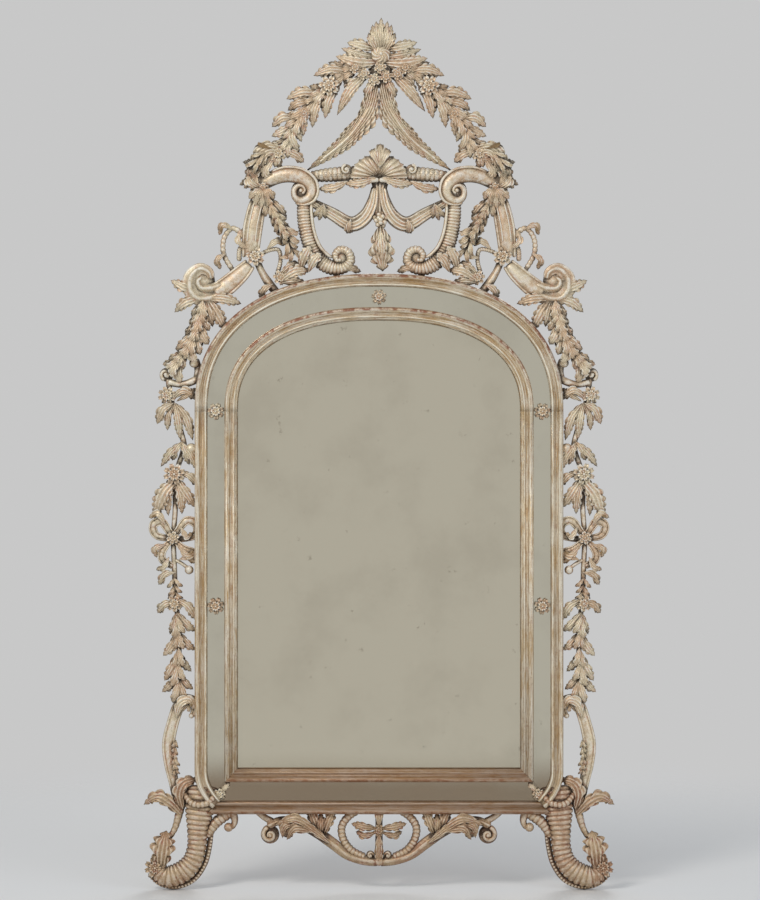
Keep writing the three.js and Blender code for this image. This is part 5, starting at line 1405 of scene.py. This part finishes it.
# %% The group for foxed silvering
foxing, given, out = new_group(
    "foxed silvering", {"Clear": COLOUR, "Low": COLOUR, "Spots": COLOUR},
    {"Color": COLOUR, "Roughness": NUMBER},
)
where = place_on(foxing)
cloud = noise(where, 5.0, 5.0)
spots = noise(where, 38.0, 8.0, 0.68)
level = add(foxing, "ShaderNodeSeparateXYZ", Vector=where)["Z"] + (cloud - 0.5) * 0.05
# Painted reflection: the tint darkens towards the bottom, where the floor shows in the glass.
colour = mix(span(level, 0.09, 0.0), given["Clear"], given["Low"])
colour = mix(span(cloud, 0.45, 0.7) * 0.2, colour, given["Spots"])
colour = mix(span(spots, 0.64, 0.72) * 0.5, colour, given["Spots"])
feed(out, Color=colour, Roughness=noise(where, 240.0, 3.0) * 0.08 + 0.1)


def silvered(name, **coats):
    material, tree, shader = new_material(name, Metallic=1.0)
    colours = {key: paint(value) for key, value in coats.items()}
    aged = add(tree, "ShaderNodeGroup", {"node_tree": foxing}, **colours)
    feed(shader, Base_Color=aged["Color"], Roughness=aged["Roughness"])
    return material


# The second colour of each plate is its painted reflection of the floor, low down.
mirror_glass = silvered("mirror glass", Clear="DCD5C1", Low="C4BAA4", Spots="A59C88")
border_glass = silvered("border glass", Clear="DAD5C3", Low="A08F7A", Spots="9C9381")

# %% [markdown]
# ## Bare wood and iron
# The back was never meant to be seen. The frame is pine, the boards are coarser and darker, and
# both keep the marks of the saw. Grain is a noise stretched along the board with a Mapping
# node. The iron is black from the forge with rust in its dents.

# %% Wood and iron
grain, given, out = new_group(
    "wood grain", {"Pale": COLOUR, "Dark": COLOUR, "Stretch": TRIPLE},
    {"Color": COLOUR, "Roughness": NUMBER, "Height": NUMBER},
)
along = add(grain, "ShaderNodeMapping", Vector=place_on(grain), Scale=given["Stretch"])
lines = noise(along, 6.0, 8.0, 0.6) * 0.7 + noise(along, 40.0, 4.0, 0.7) * 0.3
feed(out, Color=mix(span(lines, 0.35, 0.65), given["Dark"], given["Pale"]),
     Roughness=span(lines, 0.3, 0.7, 0.9, 0.72), Height=lines)


def wooden(name, pale, dark, stretch):
    material, tree, shader = new_material(name, Specular_IOR_Level=0.25)
    planed = add(tree, "ShaderNodeGroup", {"node_tree": grain}, Pale=paint(pale),
                 Dark=paint(dark), Stretch=stretch)
    feed(shader, Base_Color=planed["Color"], Roughness=planed["Roughness"],
         Normal=bump(planed["Height"], 0.4, 0.001))
    return material


PINE, OLD_BOARDS = ("A98A64", "7A5B3C"), ("8F7152", "5C442E")
upright_pine = wooden("pine, upright", *PINE, (14, 14, 1.2))
level_pine = wooden("pine, level", *PINE, (1.2, 14, 14))
backing = wooden("old boards", *OLD_BOARDS, (9, 9, 0.8))

forged, tree, shader = new_material("forged iron", Metallic=0.85)
where = place_on(tree)
rust = span(noise(where, 90.0, 6.0, 0.65), 0.5, 0.66)
feed(shader, Base_Color=mix(rust, paint("4A4541"), paint("6B4229")),
     Roughness=span(rust, 0, 1, 0.45, 0.85), Normal=bump(noise(where, 260.0, 3.0), 0.4, 0.0006))

# %% [markdown]
# ## Dressing every piece
# A slot of the record names the finish of each solid, and the carvings took their slot with
# them. The solids that stay in view, which are the glass, the back and the straps, get their
# finish in the same way. Only the bottom rail's grain runs level.

# %% Give each piece its finish
finishes = {
    "pine_frame": upright_pine,
    "backboards": backing,
    "iron": forged,
    "mirror_glass": mirror_glass,
    "border_glass": border_glass,
    "gilt_moulding": gilt_moulding,
    "carved_gilding": carved_gilding,
    "base_gilding": base_gilding,
}
for name, obj in frame["nodes"].items():
    shown = carvings.get(name, obj)
    finish = level_pine if name == "back_frame_bottom_rail" else finishes[slots[name]]
    shown.data.materials.clear()
    shown.data.materials.append(finish)
print("dressed", len(slots), "pieces in", len(finishes), "finishes")

# %% [markdown]
# ## The room
# The mirror stands in front of a plain pale grey, as for a catalogue. The world shows that grey
# to the camera and in reflections, while its light on the object is softer. A big lamp above
# and to the left gives the carving its shadows, a weak one on the right opens them, and a third
# lights the back. The floor keeps the shadow under the feet and fades out at its rim.

# %% Backdrop, floor and lamps
world = bpy.data.worlds.new("pale studio")
world.use_nodes = True
bpy.context.scene.world = world
tree = world.node_tree
rays = add(tree, "ShaderNodeLightPath")
mirrored = maths("MAXIMUM", rays["Is Glossy Ray"], rays["Is Transmission Ray"])
seen = maths("MAXIMUM", rays["Is Camera Ray"], mirrored)
around = add(tree, "ShaderNodeBackground", Color=(0.9, 0.95, 1.0, 1), Strength=0.42)
behind = add(tree, "ShaderNodeBackground", Color=(0.578, 0.578, 0.578, 1), Strength=1.0)
both = add(tree, "ShaderNodeMixShader", i0=seen, i1=around, i2=behind)
feed(tree.nodes["World Output"], Surface=both)


def lamp(name, place, aim, size, power, colour=(1, 1, 1)):
    light = bpy.data.lights.new(name, "AREA")
    light.shape = "DISK"
    light.size = size
    light.energy = power
    light.color = colour
    obj = bpy.data.objects.new(name, light)
    obj.location = place
    obj.rotation_euler = (Vector(aim) - Vector(place)).to_track_quat("-Z", "Y").to_euler()
    bpy.context.scene.collection.objects.link(obj)


lamp("key", (-2.2, -3.4, 3.4), (0, 0, 0.8), 1.6, 95, (1.0, 0.97, 0.92))
lamp("fill", (3.0, -3.0, 1.0), (0, 0, 0.7), 2.5, 30, (0.94, 0.97, 1.0))
lamp("behind", (0.6, 3.0, 2.6), (0, 0, 0.8), 2.0, 40)

FLOOR_RADIUS, FADE_FROM, FADE_TO = 3.0, 0.7, 2.6
ground = bmesh.new()
bmesh.ops.create_circle(ground, cap_ends=True, segments=64, radius=FLOOR_RADIUS,
                        matrix=Matrix.Translation((0, 0, cad_box[0][2])))
bmesh.ops.recalc_face_normals(ground, faces=ground.faces[:])
floor_mesh = bpy.data.meshes.new("floor")
ground.to_mesh(floor_mesh)
ground.free()
floor = bpy.data.objects.new("floor", floor_mesh)
bpy.context.scene.collection.objects.link(floor)
pale, tree, shader = new_material("pale floor", Roughness=0.9, Specular_IOR_Level=0.1,
                                  Base_Color=paint("E6E6E6"))
flat = add(tree, "ShaderNodeVectorMath", {"operation": "MULTIPLY"}, i0=place_on(tree), i1=(1, 1, 0))
far = add(tree, "ShaderNodeVectorMath", {"operation": "LENGTH"}, i0=flat)["Value"]
feed(shader, Alpha=span(far, FADE_TO, FADE_FROM))
floor_mesh.materials.append(pale)

# %% [markdown]
# ## The camera
# The photograph is square on and from far enough away that the lines stay parallel, so a long
# lens stands five and a half metres back, level with the middle of the mirror.

# %% Camera
lens = bpy.data.cameras.new("camera")
lens.lens, lens.sensor_width = 100, 36
camera = bpy.data.objects.new("camera", lens)
camera.location = (0.0022, -5.53, 0.748)
camera.rotation_euler = (math.pi / 2, 0, 0)
bpy.context.scene.collection.objects.link(camera)
bpy.context.scene.camera = camera
bpy.context.scene.view_settings.view_transform = "Standard"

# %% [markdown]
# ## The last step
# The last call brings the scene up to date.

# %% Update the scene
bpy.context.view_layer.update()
